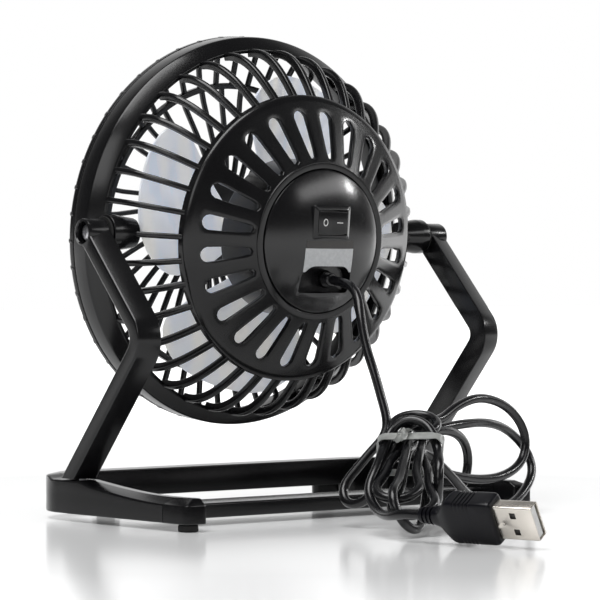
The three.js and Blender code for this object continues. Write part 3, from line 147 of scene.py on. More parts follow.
def rounded(outline: Profile, radii: float | Sequence[float], steps: int = 4) -> Profile:
    """Closed outline with its corners rounded.

    Args:
        outline: The corners, in order.
        radii: One radius for all, or one for each corner.
        steps: Number of spaces along each rounding.

    Returns:
        The outline's points, in the same order.
    """
    made: Profile = []
    count = len(outline)
    for i, corner in enumerate(outline):
        radius = radii if isinstance(radii, (int, float)) else radii[i]
        here = Vector(corner)
        before = Vector(outline[i - 1]) - here
        after = Vector(outline[(i + 1) % count]) - here
        if radius <= 0 or before.length < 1e-9 or after.length < 1e-9:
            made.append(tuple(here))
            continue
        half = before.angle(after) / 2
        setback = min(radius / tan(half), 0.49 * before.length, 0.49 * after.length)
        first, last = here + before.normalized() * setback, here + after.normalized() * setback
        for k in range(steps + 1):
            share = k / steps
            made.append(tuple(first.lerp(here, share).lerp(here.lerp(last, share), share)))
    return made


def rectangle(low: Point, high: Point) -> Profile:
    """Corners of the rectangle between two of them."""
    return [(low[0], low[1]), (high[0], low[1]), (high[0], high[1]), (low[0], high[1])]


def superellipse(half_width: float, half_height: float, squareness: float, count: int) -> Profile:
    """Rounded outline between an ellipse, at squareness 2, and a rectangle.

    Args:
        half_width: Half its width.
        half_height: Half its height.
        squareness: The curve's exponent.
        count: Number of points.

    Returns:
        The outline's points, anticlockwise.
    """
    def power(value: float) -> float:
        """Signed power of a sine or cosine."""
        return copysign(abs(value) ** (2 / squareness), value)

    angles = [(i + 0.5) / count * TURN for i in range(count)]
    return [(half_width * power(cos(a)), half_height * power(sin(a))) for a in angles]


def curve_points(points: Sequence[Point], per_span: int = 12) -> list[Vector]:
    """Centripetal Catmull-Rom curve through points.

    Args:
        points: The points that it passes through.
        per_span: Number of steps from each point to the next.

    Returns:
        Points along the curve.
    """
    nodes = [Vector(p) for p in points]
    nodes = [nodes[0] * 2 - nodes[1], *nodes, nodes[-1] * 2 - nodes[-2]]
    made: list[Vector] = []
    for a, b, c, d in zip(nodes, nodes[1:], nodes[2:], nodes[3:]):
        times = [0.0]
        for first, second in ((a, b), (b, c), (c, d)):
            times.append(times[-1] + max((second - first).length, 1e-6) ** 0.5)
        t0, t1, t2, t3 = times
        for k in range(per_span):
            t = lerp(t1, t2, k / per_span)
            ab = a.lerp(b, (t - t0) / (t1 - t0))
            bc = b.lerp(c, (t - t1) / (t2 - t1))
            cd = c.lerp(d, (t - t2) / (t3 - t2))
            abc = ab.lerp(bc, (t - t0) / (t2 - t0))
            bcd = bc.lerp(cd, (t - t1) / (t3 - t1))
            made.append(abc.lerp(bcd, (t - t1) / (t2 - t1)))
    made.append(nodes[-2])
    return made


def even_points(path: Sequence[Vector], step: float) -> list[Vector]:
    """Points at even spaces along a path.

    Args:
        path: The path's points.
        step: Wanted space between the points.

    Returns:
        The evenly placed points, with both ends of the path.
    """
    lengths = [0.0]
    for a, b in zip(path, path[1:]):
        lengths.append(lengths[-1] + (b - a).length)
    count = max(round(lengths[-1] / step), 1)
    made: list[Vector] = []
    span = 0
    for i in range(count + 1):
        wanted = lengths[-1] * i / count
        while span < len(path) - 2 and lengths[span + 1] < wanted:
            span += 1
        gap = max(lengths[span + 1] - lengths[span], 1e-9)
        made.append(path[span].lerp(path[span + 1], clamp((wanted - lengths[span]) / gap)))
    return made


def linked(name: str, data: bpy.types.ID) -> Thing:
    """Object made from its data and put in the scene."""
    made = bpy.data.objects.new(name, data)
    bpy.context.scene.collection.objects.link(made)
    return made


class Draft:
    """A mesh being drawn, in millimetres."""

    def __init__(self) -> None:
        """Starts an empty mesh."""
        self.points: list[Vector] = []
        self.faces: list[tuple[int, ...]] = []

    def skin(self, rows: Sequence[Sequence[Point]], capped: bool = True, ring: bool = False) -> "Draft":
        """Adds a skin over a row of closed outlines.

        Args:
            rows: Outlines with equally many points.
            capped: Whether both ends are closed with a face.
            ring: Whether the last outline joins the first.

        Returns:
            This draft.
        """
        start, count = len(self.points), len(rows[0])
        self.points += [Vector(p) for row in rows for p in row]
        pairs = list(zip(range(len(rows)), range(1, len(rows))))
        if ring:
            pairs.append((len(rows) - 1, 0))
        for a, b in pairs:
            for i in range(count):
                j = (i + 1) % count
                self.faces.append((start + a * count + i, start + a * count + j,
                                   start + b * count + j, start + b * count + i))
        if capped and not ring:
            last = start + (len(rows) - 1) * count
            self.faces.append(tuple(range(start + count - 1, start - 1, -1)))
            self.faces.append(tuple(range(last, last + count)))
        return self

    def revolve(self, profile: Profile, segments: int) -> "Draft":
        """Adds a closed outline of (radius, y) points turned about the Y axis, none of them on it."""
        rows = [[(r * cos(a), y, r * sin(a)) for r, y in profile]
                for a in (i / segments * TURN for i in range(segments))]
        return self.skin(rows, ring=True)

    def turned(self, profile: Profile, segments: int) -> "Draft":
        """Adds an open outline of (radius, y) points turned about Y, whose ends are closed with a face."""
        rows = [[(r * cos(i / segments * TURN), y, r * sin(i / segments * TURN)) for i in range(segments)]
                for r, y in profile]
        return self.skin(rows)

    def sheet(self, rows: Sequence[Sequence[Point]]) -> "Draft":
        """Adds an open grid of quadrilaterals."""
        start, count = len(self.points), len(rows[0])
        self.points += [Vector(p) for row in rows for p in row]
        for a in range(len(rows) - 1):
            for i in range(count - 1):
                here = start + a * count + i
                self.faces.append((here, here + 1, here + count + 1, here + count))
        return self

    def plate(self, outline: Sequence[Point], move: Point) -> "Draft":
        """Adds a flat closed outline thickened by a move."""
        return self.skin([[Vector(p) for p in outline], [Vector(p) + Vector(move) for p in outline]])

    def add(self, other: "Draft", matrix: Matrix | None = None) -> "Draft":
        """Adds another draft, moved by a matrix."""
        start = len(self.points)
        self.points += [matrix @ p if matrix else p.copy() for p in other.points]
        self.faces += [tuple(i + start for i in f) for f in other.faces]
        return self

    def moved(self, matrix: Matrix) -> "Draft":
        """This draft after a move."""
        self.points = [matrix @ p for p in self.points]
        return self

    def build(self, name: str, weld: float = 0.0005) -> Thing:
        """Makes the object, in metres, with its faces pointing out.

        Args:
            name: The object's name.
            weld: Points closer than this become one, in millimetres.

        Returns:
            The new object.
        """
        mesh = bpy.data.meshes.new(name)
        mesh.from_pydata([p * MM for p in self.points], [], self.faces)
        work = bmesh.new()
        work.from_mesh(mesh)
        bmesh.ops.remove_doubles(work, verts=work.verts, dist=weld * MM)
        bmesh.ops.dissolve_degenerate(work, dist=weld * MM * 0.2, edges=work.edges)
        bmesh.ops.recalc_face_normals(work, faces=work.faces)
        work.to_mesh(mesh)
        work.free()
        return linked(name, mesh)


def prism(outline: Profile, places: Sequence[float]) -> Draft:
    """One (y, z) outline drawn along X through some places."""
    return Draft().skin([[Vector((x, y, z)) for y, z in outline] for x in places])


def placed(thing: Thing, matrix: Matrix) -> Thing:
    """Moves an object's mesh by a matrix whose lengths are millimetres."""
    move = matrix.copy()
    move.translation *= MM
    thing.data.transform(move)
    return thing


def applied(thing: Thing, kind: str, **settings: object) -> Thing:
    """Adds one modifier to an object and applies it.

    Args:
        thing: The object.
        kind: The modifier's type.
        **settings: Its properties.

    Returns:
        The same object.
    """
    modifier = thing.modifiers.new(kind.lower(), kind)
    for key, value in settings.items():
        setattr(modifier, key, value)
    depsgraph = bpy.context.evaluated_depsgraph_get()
    mesh = bpy.data.meshes.new_from_object(thing.evaluated_get(depsgraph), depsgraph=depsgraph)
    thing.modifiers.clear()
    old, thing.data = thing.data, mesh
    mesh.name = thing.name
    bpy.data.meshes.remove(old)
    return thing


def carved(thing: Thing, *tools: Draft, operation: str = "DIFFERENCE") -> Thing:
    """Cuts drafts out of an object, or joins them to it with the operation UNION."""
    for number, tool in enumerate(tools):
        cutter = tool.build(f"{thing.name}_tool_{number}")
        applied(thing, "BOOLEAN", operation=operation, solver="EXACT", object=cutter)
        bpy.data.objects.remove(cutter)
    return thing


def softened(thing: Thing, width: float, segments: int = 2, angle: float = 30) -> Thing:
    """Rounds an object's sharp edges.

    Args:
        thing: The object.
        width: Width of the rounding in millimetres.
        segments: Number of faces across it.
        angle: Edges that turn by more than this many degrees are rounded.

    Returns:
        The same object.
    """
    return applied(thing, "BEVEL", width=width * MM, segments=segments, limit_method="ANGLE",
                   angle_limit=radians(angle), use_clamp_overlap=True, miter_outer="MITER_ARC")


def smoothed(thing: Thing, angle: float = 35) -> Thing:
    """Shades an object smooth, except over edges sharper than an angle in degrees."""
    thing.data.polygons.foreach_set("use_smooth", [True] * len(thing.data.polygons))
    thing.data.set_sharp_from_angle(angle=radians(angle))
    return thing


def finished(thing: Thing, body: Body, material: Material,
             replaces: Iterable[str] = ()) -> Thing:
    """Dresses a piece and fixes it to the body that it moves with.

    Args:
        thing: The piece.
        body: The body that it rides on.
        material: Its material.
        replaces: CAD nodes that it stands for.

    Returns:
        The same object.
    """
    thing.data.materials.clear()
    thing.data.materials.append(material)
    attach(thing, body.value)
    names = list(replaces)
    if names:
        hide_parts(*names)
    log.info("%s rides on %s%s", thing.name, body.value, f" for {', '.join(names)}" if names else "")
    return thing


# ---------------------------------------------------------------- shaders


@dataclass(frozen=True)
class Tap:
    """A value in a node tree, on which arithmetic adds Math nodes."""

    shader: "Nodes"
    socket: bpy.types.NodeSocket

    def maths(self, operation: str, *values: "Tap | float") -> "Tap":
        """Result of one Math node on values."""
        return self.shader.node("ShaderNodeMath", {"operation": operation}, dict(enumerate(values)))

    def __add__(self, other: "Tap | float") -> "Tap":
        """Sum."""
        return self.maths("ADD", self, other)

    def __radd__(self, other: float) -> "Tap":
        """Sum with a number on the left."""
        return self.maths("ADD", other, self)

    def __sub__(self, other: "Tap | float") -> "Tap":
        """Difference."""
        return self.maths("SUBTRACT", self, other)

    def __rsub__(self, other: float) -> "Tap":
        """Difference from a number."""
        return self.maths("SUBTRACT", other, self)

    def __mul__(self, other: "Tap | float") -> "Tap":
        """Product."""
        return self.maths("MULTIPLY", self, other)

    def __rmul__(self, other: float) -> "Tap":
        """Product with a number on the left."""
        return self.maths("MULTIPLY", other, self)

    def between(self, low: float, high: float) -> "Tap":
        """0 below low, 1 above high, and a straight ramp between."""
        settings = {"clamp": True}
        return self.shader.node("ShaderNodeMapRange", settings,
                                {"Value": self, "From Min": low, "From Max": high})


class Nodes:
    """A node tree that taps draw from."""

    def __init__(self, tree: bpy.types.NodeTree) -> None:
        """Wraps a tree."""
        self.tree = tree

    def node(self, kind: str, settings: dict[str, object], inputs: dict[str | int, object],
             output: str | int = 0) -> Tap:
        """Adds a node.

        Args:
            kind: The node's type.
            settings: Its properties, set first.
            inputs: Values or taps for its sockets, by name or number.
            output: The output that is handed back.

        Returns:
            A tap on that output.
        """
        made = self.tree.nodes.new(kind)
        for key, value in settings.items():
            setattr(made, key, value)
        for key, value in inputs.items():
            if isinstance(value, Tap):
                self.tree.links.new(value.socket, made.inputs[key])
            else:
                made.inputs[key].default_value = value
        return Tap(self, made.outputs[output])


class Shader(Nodes):
    """A material made of nodes around one Principled shader."""

    def __init__(self, name: str, **constants: object) -> None:
        """Starts a material.

        Args:
            name: Its name.
            **constants: Values of the Principled sockets, with _ for a space in the name.
        """
        self.material = bpy.data.materials.new(name)
        self.material.use_nodes = True
        super().__init__(self.material.node_tree)
        self.surface = self.tree.nodes["Principled BSDF"]
        for key, value in constants.items():
            self.surface.inputs[key.replace("_", " ")].default_value = value

    def place(self, stretch: Point = (1, 1, 1)) -> Tap:
        """Object coordinates in metres, stretched along each axis."""
        here = self.node("ShaderNodeTexCoord", {}, {}, "Object")
        return self.node("ShaderNodeMapping", {}, {"Vector": here, "Scale": tuple(stretch)})

    def noise(self, scale: float, detail: float, where: Tap | None = None) -> Tap:
        """Noise from 0 to 1 with a scale in features per metre."""
        inputs = {"Vector": where or self.place(), "Scale": scale, "Detail": detail}
        return self.node("ShaderNodeTexNoise", {}, inputs, "Fac")

    def mix(self, mask: Tap, low: Point, high: Point) -> Tap:
        """Colour that goes from low to high as a mask goes from 0 to 1."""
        settings = {"data_type": "RGBA"}
        return self.node("ShaderNodeMix", settings, {0: mask, 6: (*low, 1.0), 7: (*high, 1.0)}, 2)

    def edges(self, low: float, high: float) -> Tap:
        """1 on outer edges, 0 on flat and hollow places."""
        pointed = self.node("ShaderNodeNewGeometry", {}, {}, "Pointiness")
        return pointed.between(low, high)

    def bump(self, height: Tap, depth: float) -> Tap:
        """Normal from a height of 0 to 1, where 1 stands depth metres proud."""
        return self.node("ShaderNodeBump", {}, {"Height": height, "Distance": depth})

    def feed(self, **taps: Tap) -> Material:
        """Links taps to the Principled sockets, with _ for a space, and hands back the material."""
        for key, tap in taps.items():
            self.tree.links.new(tap.socket, self.surface.inputs[key.replace("_", " ")])
        return self.material


@dataclass(frozen=True)
class Finish:
    """What every finish has: its material's name."""

    name: str

    def material(self) -> Material:
        """Builds the material."""
        raise NotImplementedError


@dataclass(frozen=True)
class MouldedPlastic(Finish):
    """Black moulded plastic: faint flow marks, fine grain and edges rubbed a little lighter."""

    base: Triple = (0.0035, 0.0035, 0.004)
    worn: Triple = (0.014, 0.014, 0.015)
    roughness: float = 0.2
    spread: float = 0.08
    grain: float = 0.000008
    specular: float = 0.42

    def material(self) -> Material:
        """Builds the material."""
        shader = Shader(self.name, Specular_IOR_Level=self.specular)
        flow = shader.noise(55, 3)
        grain = shader.noise(2600, 2)
        wear = shader.edges(0.52, 0.6) * shader.noise(240, 4).between(0.42, 0.7)
        tone = shader.mix(wear * 0.7 + flow.between(0.3, 0.9) * 0.25, self.base, self.worn)
        rough = flow * self.spread + (self.roughness - self.spread / 2) + wear * 0.12
        return shader.feed(Base_Color=tone, Roughness=rough, Normal=shader.bump(grain, self.grain))


@dataclass(frozen=True)
class PolishedPlastic(Finish):
    """Polished black plastic with hair-line scratches and a little dust."""

    base: Triple = (0.003, 0.003, 0.0035)
    dust: Triple = (0.03, 0.03, 0.032)
    roughness: float = 0.2

    def material(self) -> Material:
        """Builds the material."""
        shader = Shader(self.name, Specular_IOR_Level=0.6)
        scratches = shader.noise(500, 2, shader.place((6, 1, 0.35))).between(0.6, 0.72)
        specks = shader.noise(1900, 2).between(0.7, 0.78)
        swirl = shader.noise(38, 2)
        tone = shader.mix(specks * 0.5, self.base, self.dust)
        rough = scratches * 0.05 + swirl * 0.05 + (self.roughness - 0.025) + specks * 0.2
        return shader.feed(Base_Color=tone, Roughness=rough, Normal=shader.bump(scratches + swirl, 0.000004))


@dataclass(frozen=True)
class SoftRubber(Finish):
    """Matt black rubber with a fine pitted skin."""

    base: Triple = (0.014, 0.014, 0.014)
    dust: Triple = (0.05, 0.048, 0.045)

    def material(self) -> Material:
        """Builds the material."""
        shader = Shader(self.name, Specular_IOR_Level=0.3)
        pits = shader.noise(1500, 3)
        dust = shader.noise(320, 4).between(0.45, 0.8)
        tone = shader.mix(dust * 0.5, self.base, self.dust)
        return shader.feed(Base_Color=tone, Roughness=dust * 0.15 + 0.68, Normal=shader.bump(pits, 0.00004))


@dataclass(frozen=True)
class FlexiblePvc(Finish):
    """Smooth black PVC of a lead: soft sheen, with slow changes of gloss along it."""

    base: Triple = (0.004, 0.004, 0.005)
    scuffed: Triple = (0.016, 0.016, 0.017)
    roughness: float = 0.24
    specular: float = 0.5

    def material(self) -> Material:
        """Builds the material."""
        shader = Shader(self.name, Specular_IOR_Level=self.specular)
        slow = shader.noise(70, 3)
        scuffs = shader.noise(300, 3).between(0.56, 0.8)
        tone = shader.mix(scuffs * 0.5, self.base, self.scuffed)
        rough = slow * 0.1 + (self.roughness - 0.05) + scuffs * 0.04
        return shader.feed(Base_Color=tone, Roughness=rough, Normal=shader.bump(slow, 0.00002))


@dataclass(frozen=True)
class RolledMetal(Finish):
    """Bright sheet or plated metal with fine rolling marks along one direction."""

    base: Triple
    dull: Triple
    roughness: float = 0.25
    grain: Triple = (1, 1, 12)
    mark_depth: float = 0.000006

    def material(self) -> Material:
        """Builds the material."""
        shader = Shader(self.name, Metallic=1.0)
        marks = shader.noise(260, 4, shader.place(self.grain))
        cloud = shader.noise(40, 3)
        tone = shader.mix(cloud.between(0.35, 0.8) * 0.6 + marks * 0.3, self.base, self.dull)
        rough = cloud * 0.12 + marks * 0.1 + (self.roughness - 0.1)
        return shader.feed(Base_Color=tone, Roughness=rough, Normal=shader.bump(marks, self.mark_depth))


@dataclass(frozen=True)
class BladeSheet(Finish):
    """Pale, pearly sheet of the blades with warm and cold streaks; its tone is also emitted as a painted glow
    that makes the blades brighter.
    """

    warm: Triple = (1.0, 0.98, 0.93)
    cold: Triple = (0.74, 0.8, 0.93)
    roughness: float = 0.28
    painted_glow: float = 0.26

    def material(self) -> Material:
        """Builds the material."""
        # Painted glow: the streaked tone is emitted as well, so the blades look brighter than their lighting
        # makes them.
        shader = Shader(self.name, Emission_Strength=self.painted_glow)
        streaks = shader.noise(34, 3, shader.place((6, 1, 1.4)))
        cloud = shader.noise(22, 2)
        tone = shader.mix((streaks * 0.7 + cloud * 0.3).between(0.36, 0.62), self.warm, self.cold)
        rough = streaks * 0.12 + (self.roughness - 0.06)
        return shader.feed(Base_Color=tone, Emission_Color=tone, Roughness=rough,
                           Normal=shader.bump(streaks, 0.00001))


@dataclass(frozen=True)
class MilkyPlastic(Finish):
    """Milky, slightly see-through plastic of a wire tie."""

    base: Triple = (0.5, 0.51, 0.49)
    shade: Triple = (0.3, 0.31, 0.3)

    def material(self) -> Material:
        """Builds the material."""
        shader = Shader(self.name, Transmission_Weight=0.25, IOR=1.48)
        cloud = shader.noise(300, 3)
        tone = shader.mix(cloud.between(0.3, 0.75), self.base, self.shade)
        return shader.feed(Base_Color=tone, Roughness=cloud * 0.1 + 0.28, Normal=shader.bump(cloud, 0.00005))


@dataclass(frozen=True)
class PrintedPaper(Finish):
    """Plain coated paper or paint with a faint grain."""

    base: Triple
    shade: Triple
    roughness: float = 0.4

    def material(self) -> Material:
        """Builds the material."""
        shader = Shader(self.name, Specular_IOR_Level=0.4)
        fibre = shader.noise(900, 4)
        tone = shader.mix(fibre.between(0.3, 0.8), self.base, self.shade)
        return shader.feed(Base_Color=tone, Roughness=fibre * 0.1 + self.roughness - 0.05,
                           Normal=shader.bump(fibre, 0.000008))


def look(finish: Finish) -> Material:
    """Field that holds a finish's material."""
    return field(default_factory=finish.material)


@dataclass
class Paints:
    """Every material, made once."""

    satin: Material = look(MouldedPlastic("satin_abs"))
    gloss: Material = look(PolishedPlastic("polished_abs"))
    rubber: Material = look(SoftRubber("foot_rubber"))
    cord: Material = look(FlexiblePvc("lead_pvc"))
    grip: Material = look(FlexiblePvc("grip_pvc", (0.003, 0.003, 0.005), (0.008, 0.008, 0.011), 0.3, 0.22))
    aluminium: Material = look(BladeSheet("blade_sheet"))
    nickel: Material = look(RolledMetal("shell_nickel", (0.72, 0.68, 0.62), (0.56, 0.53, 0.49), 0.24))
    steel: Material = look(RolledMetal("screw_steel", (0.58, 0.58, 0.6), (0.42, 0.42, 0.44), 0.3))
    tie: Material = look(MilkyPlastic("wire_tie"))
    label: Material = look(PrintedPaper("label_paper", (0.5, 0.51, 0.52), (0.4, 0.41, 0.42)))
    band: Material = look(PrintedPaper("label_band", (0.045, 0.042, 0.04), (0.035, 0.033, 0.032)))
    white: Material = look(PrintedPaper("white_plastic", (0.8, 0.8, 0.79), (0.7, 0.7, 0.69)))
    mark: Material = look(PrintedPaper("switch_paint", (0.75, 0.75, 0.74), (0.62, 0.62, 0.61)))


# ---------------------------------------------------------------- head


TILT = radians(-5.2)
PIVOT = Vector((0, -9.5, 98.8))
HEAD = Matrix.Translation(PIVOT) @ Matrix.Rotation(TILT, 4, "X")
GAP = 0.3
ALONG_X = Matrix.Rotation(-pi / 2, 4, "Z")
UPRIGHT = Matrix.Rotation(pi / 2, 4, "X")


def about_y(angle: float) -> Matrix:
    """Turn about the head's axis that takes +X towards +Z by an angle in radians."""
    return Matrix.Rotation(-angle, 4, "Y")


def radial_sweep(path: Profile, section: Profile, angles: Sequence[float] | None = None) -> Draft:
    """Bar whose middle line follows (radius, y) points.

    Args:
        path: Its middle line.
        section: Its outline as (across, outwards) points.
        angles: The angle of each point of the path about Y, in radians; all 0 where left out.

    Returns:
        The bar, as a draft.
    """
    rows: list[list[Vector]] = []
    rising = path[0][1] < path[-1][1]
    for i, (r, y) in enumerate(path):
        before, after = path[max(i - 1, 0)], path[min(i + 1, len(path) - 1)]
        along = Vector((after[0] - before[0], after[1] - before[1])).normalized()
        outward = Vector((-along.y, along.x))
        if rising and outward.x + outward.y < 0 or not rising and outward.y > 0:
            outward.negate()
        angle = angles[i] if angles else 0.0
        radial = Vector((cos(angle), 0, sin(angle)))
        across = Vector((-sin(angle), 0, cos(angle)))
        rows.append([radial * (r + outward.x * v) + across * u + Vector((0, y + outward.y * v, 0))
                     for u, v in section])
    return Draft().skin(rows)


@dataclass
class RearCage:
    """Rear half of the cage: ring, ribs, slotted plate, motor cup and pivot bosses in one moulding."""

    ring_r: float = 70.0
    ring_front: float = -20.8
    ring_rear: float = -13.5
    ring_wall: float = 2.6
    shoulder: float = 4.3
    ribs: int = 38
    rib_width: float = 2.1
    rib_depth: float = 3.0
    plate_r: float = 50.5
    plate_edge_y: float = 17.2
    plate_wall: float = 2.2
    slots: int = 24
    slot_inner: Pair = (30.2, 1.5)
    slot_outer: Pair = (42.6, 2.7)
    cup_r: float = 27.8
    cup_rear: float = 29.6
    boss_x: Pair = (59.5, 71.0)
    boss_r: float = 6.3
    sectors: int = 12

    def plate_y(self, r: float) -> float:
        """Height of the plate's outer face at a radius."""
        edge = self.plate_r - 0.9
        return self.plate_edge_y + 1 + (
            self.cup_rear - 0.7 - self.plate_edge_y - 1) * (edge - r) / (edge - self.cup_r)

    def ring(self) -> Draft:
        """Ring that the front grille clips into."""
        inner, shoulder_y = self.ring_r - self.ring_wall, self.ring_rear + self.shoulder
        shoulder_r = self.ring_r - self.shoulder
        outline = [(inner, self.ring_front), (self.ring_r, self.ring_front), (self.ring_r, self.ring_rear),
                   (shoulder_r, shoulder_y), (shoulder_r - 1.6, shoulder_y), (inner, self.ring_rear - 0.6)]
        return Draft().revolve(rounded(outline, (0.4, 0.5, 1.6, 1.0, 0.6, 1.0), 3), 190)

    def rib_path(self, steps: int = 13) -> Profile:
        """Middle line of a rib, from the ring's shoulder to the edge of the plate."""
        shoulder_y = self.ring_rear + self.shoulder
        a = Vector((self.ring_r - self.shoulder + 0.2, shoulder_y - 1.2))
        b, c = a + Vector((1.3, 12.2)), Vector((self.plate_r + 9.5, self.plate_edge_y - 8.5))
        d = Vector((self.plate_r - 1, self.plate_edge_y - 0.1))
        made: Profile = []
        for i in range(steps + 1):
            t = i / steps
            point = a * (1 - t) ** 3 + b * 3 * t * (1 - t) ** 2 + c * 3 * t * t * (1 - t) + d * t ** 3
            slope = ((b - a) * (1 - t) ** 2 + (c - b) * 2 * t * (1 - t) + (d - c) * t * t).normalized()
            made.append(tuple(point - Vector((slope.y, -slope.x)) * self.rib_depth / 2))
        return made

    def rib(self) -> Draft:
        """One rib, at angle 0."""
        half_w, half_d = self.rib_width / 2, self.rib_depth / 2
        corners = [(half_w, half_d), (-half_w, half_d), (-half_w + 0.15, -half_d), (half_w - 0.15, -half_d)]
        return radial_sweep(self.rib_path(), rounded(corners, (0.75, 0.75, 0.5, 0.5), 3))

    def sector_edge(self, share: float, low: float, high: float) -> Pair:
        """Point of a plate sector's outline, at an angle around its slot, as (radius, angle)."""
        half = pi / self.slots
        middle = (self.slot_inner[0] + self.slot_outer[0]) / 2
        direction = (cos(share * TURN), sin(share * TURN))
        width = middle * tan(half)
        reach = min((high - middle) / max(direction[0], 1e-9) if direction[0] > 0 else 1e9,
                    (low - middle) / min(direction[0], -1e-9) if direction[0] < 0 else 1e9,
                    width / max(abs(direction[1]), 1e-9))
        x, z = middle + direction[0] * reach, direction[1] * reach
        if abs(abs(z) - width) < 1e-6:
            return clamp(x, low, high), copysign(half, z)
        return (high if direction[0] > 0 else low), half * z / width

    def slot_point(self, share: float, grow: float) -> Pair:
        """Point of a slot's outline in its own plane, at an angle around its middle."""
        (r0, w0), (r1, w1) = self.slot_inner, self.slot_outer
        w0, w1 = w0 + grow, w1 + grow
        middle = (r0 + r1) / 2
        direction = Vector((cos(share * TURN), sin(share * TURN)))
        low, high = 0.0, 30.0
        for _ in range(30):
            reach = (low + high) / 2
            x, z = middle + direction.x * reach, direction.y * reach
            along = clamp((x - r0) / (r1 - r0))
            inside = hypot(x - lerp(r0, r1, along), z) < lerp(w0, w1, along)
            low, high = (reach, high) if inside else (low, reach)
        return middle + direction.x * low, direction.y * low

    def plate_sector(self) -> Draft:
        """The part of the plate around one slot, with its share of the turned edge."""
        low, high = self.cup_r - 0.6, self.plate_r - 2.2
        middle, half = (self.slot_inner[0] + self.slot_outer[0]) / 2, pi / self.slots
        outer, inner = (atan2(middle * tan(half), reach) / TURN for reach in (high - middle, middle - low))
        upper = [0.0, outer * 0.35, outer * 0.7, outer, 0.1, 0.15, 0.2, 0.25]
        lower = [0.5 - inner * s for s in (1, 0.7, 0.35)]
        quarter = upper + [0.3, 0.35, 0.4] + lower
        shares = quarter + [0.5] + [1 - s for s in reversed(quarter[1:])]
        count = len(shares)
        rim = [self.sector_edge(s, low, high) for s in shares]

        def at(r: float, angle: float, y: float) -> Vector:
            """Point from a radius and an angle."""
            return Vector((r * cos(angle), y, r * sin(angle)))

        def slot_row(grow: float, drop: float, under: bool = False) -> list[Vector]:
            """Row of points around the slot."""
            made = []
            for s in shares:
                x, z = self.slot_point(s, grow)
                r = hypot(x, z)
                made.append(Vector((x, self.plate_y(r) - (self.plate_wall if under else 0) - drop, z)))
            return made

        top = [at(r, a, self.plate_y(r)) for r, a in rim]
        bottom = [at(r, a, self.plate_y(r) - self.plate_wall) for r, a in rim]
        inner_top = slot_row(0.5, 0)
        between = [p.lerp(q, 0.45) for p, q in zip(inner_top, top)]
        rows = [bottom, slot_row(0.25, 0, True), slot_row(0, -0.25, True), slot_row(0, 0.42),
                slot_row(0.12, 0.12), inner_top, between, top]
        draft = Draft().skin(rows, capped=False)
        lip = [(self.plate_r - 1.3, None), (self.plate_r - 0.75, 0.62), (self.plate_r - 0.22, 0.2),
               (self.plate_r, -0.35), (self.plate_r, -2.9), (self.plate_r - 0.3, -3.2),
               (self.plate_r - 2.0, -3.2), (self.plate_r - 2.2, -3.0)]
        for i in range(count):
            j = (i + 1) % count
            (ra, a), (rb, b) = rim[i], rim[j]
            if min(ra, rb) < high - 1e-6:
                continue
            chain_a, chain_b = [top[i]], [top[j]]
            for r, drop in lip:
                y = self.plate_y(r) if drop is None else self.plate_edge_y + drop
                chain_a.append(at(r, a, y))
                chain_b.append(at(r, b, y))
            draft.sheet([chain_a + [bottom[i]], chain_b + [bottom[j]]])
        return draft

    def cup(self) -> Draft:
        """Cup that the motor sits in."""
        r = self.cup_r
        outline = [(3.9, 8.0), (r, 8.0), (r, self.cup_rear), (r - 2.4, self.cup_rear), (r - 2.4, 27.2),
                   (r - 4.0, 27.2), (r - 4.0, 10.0), (3.9, 10.0)]
        return Draft().revolve(rounded(outline, (0, 0.8, 0.45, 0.3, 0.1, 0.2, 0.5, 0), 3), 144)

    def boss(self) -> Draft:
        """Pivot boss on the +X side."""
        tip, face = self.boss_x
        outline = [(1.8, tip), (self.boss_r - 1.2, tip), (self.boss_r, face - 3), (self.boss_r, face),
                   (1.8, face)]
        return Draft().revolve(rounded(outline, (0, 0.8, 1.0, 0.35, 0), 3), 48).moved(ALONG_X)

    def build(self, paints: Paints) -> None:
        """Builds and dresses the moulding."""
        draft = self.ring().add(self.cup()).add(self.boss())
        draft.add(self.boss(), Matrix.Rotation(pi, 4, "Z"))
        rib, sector = self.rib(), self.plate_sector()
        for i in range(self.ribs):
            draft.add(rib, about_y(i / self.ribs * TURN))
        for i in range(self.slots):
            draft.add(sector, about_y((i + 0.5) / self.slots * TURN))
        moulding = smoothed(draft.moved(HEAD).build("rear_cage_moulding", 0.003), 38)
        finished(moulding, Body.HEAD, paints.satin,
                 ["rear_plate", *(f"rear_cage_{i + 1}" for i in range(self.sectors))])


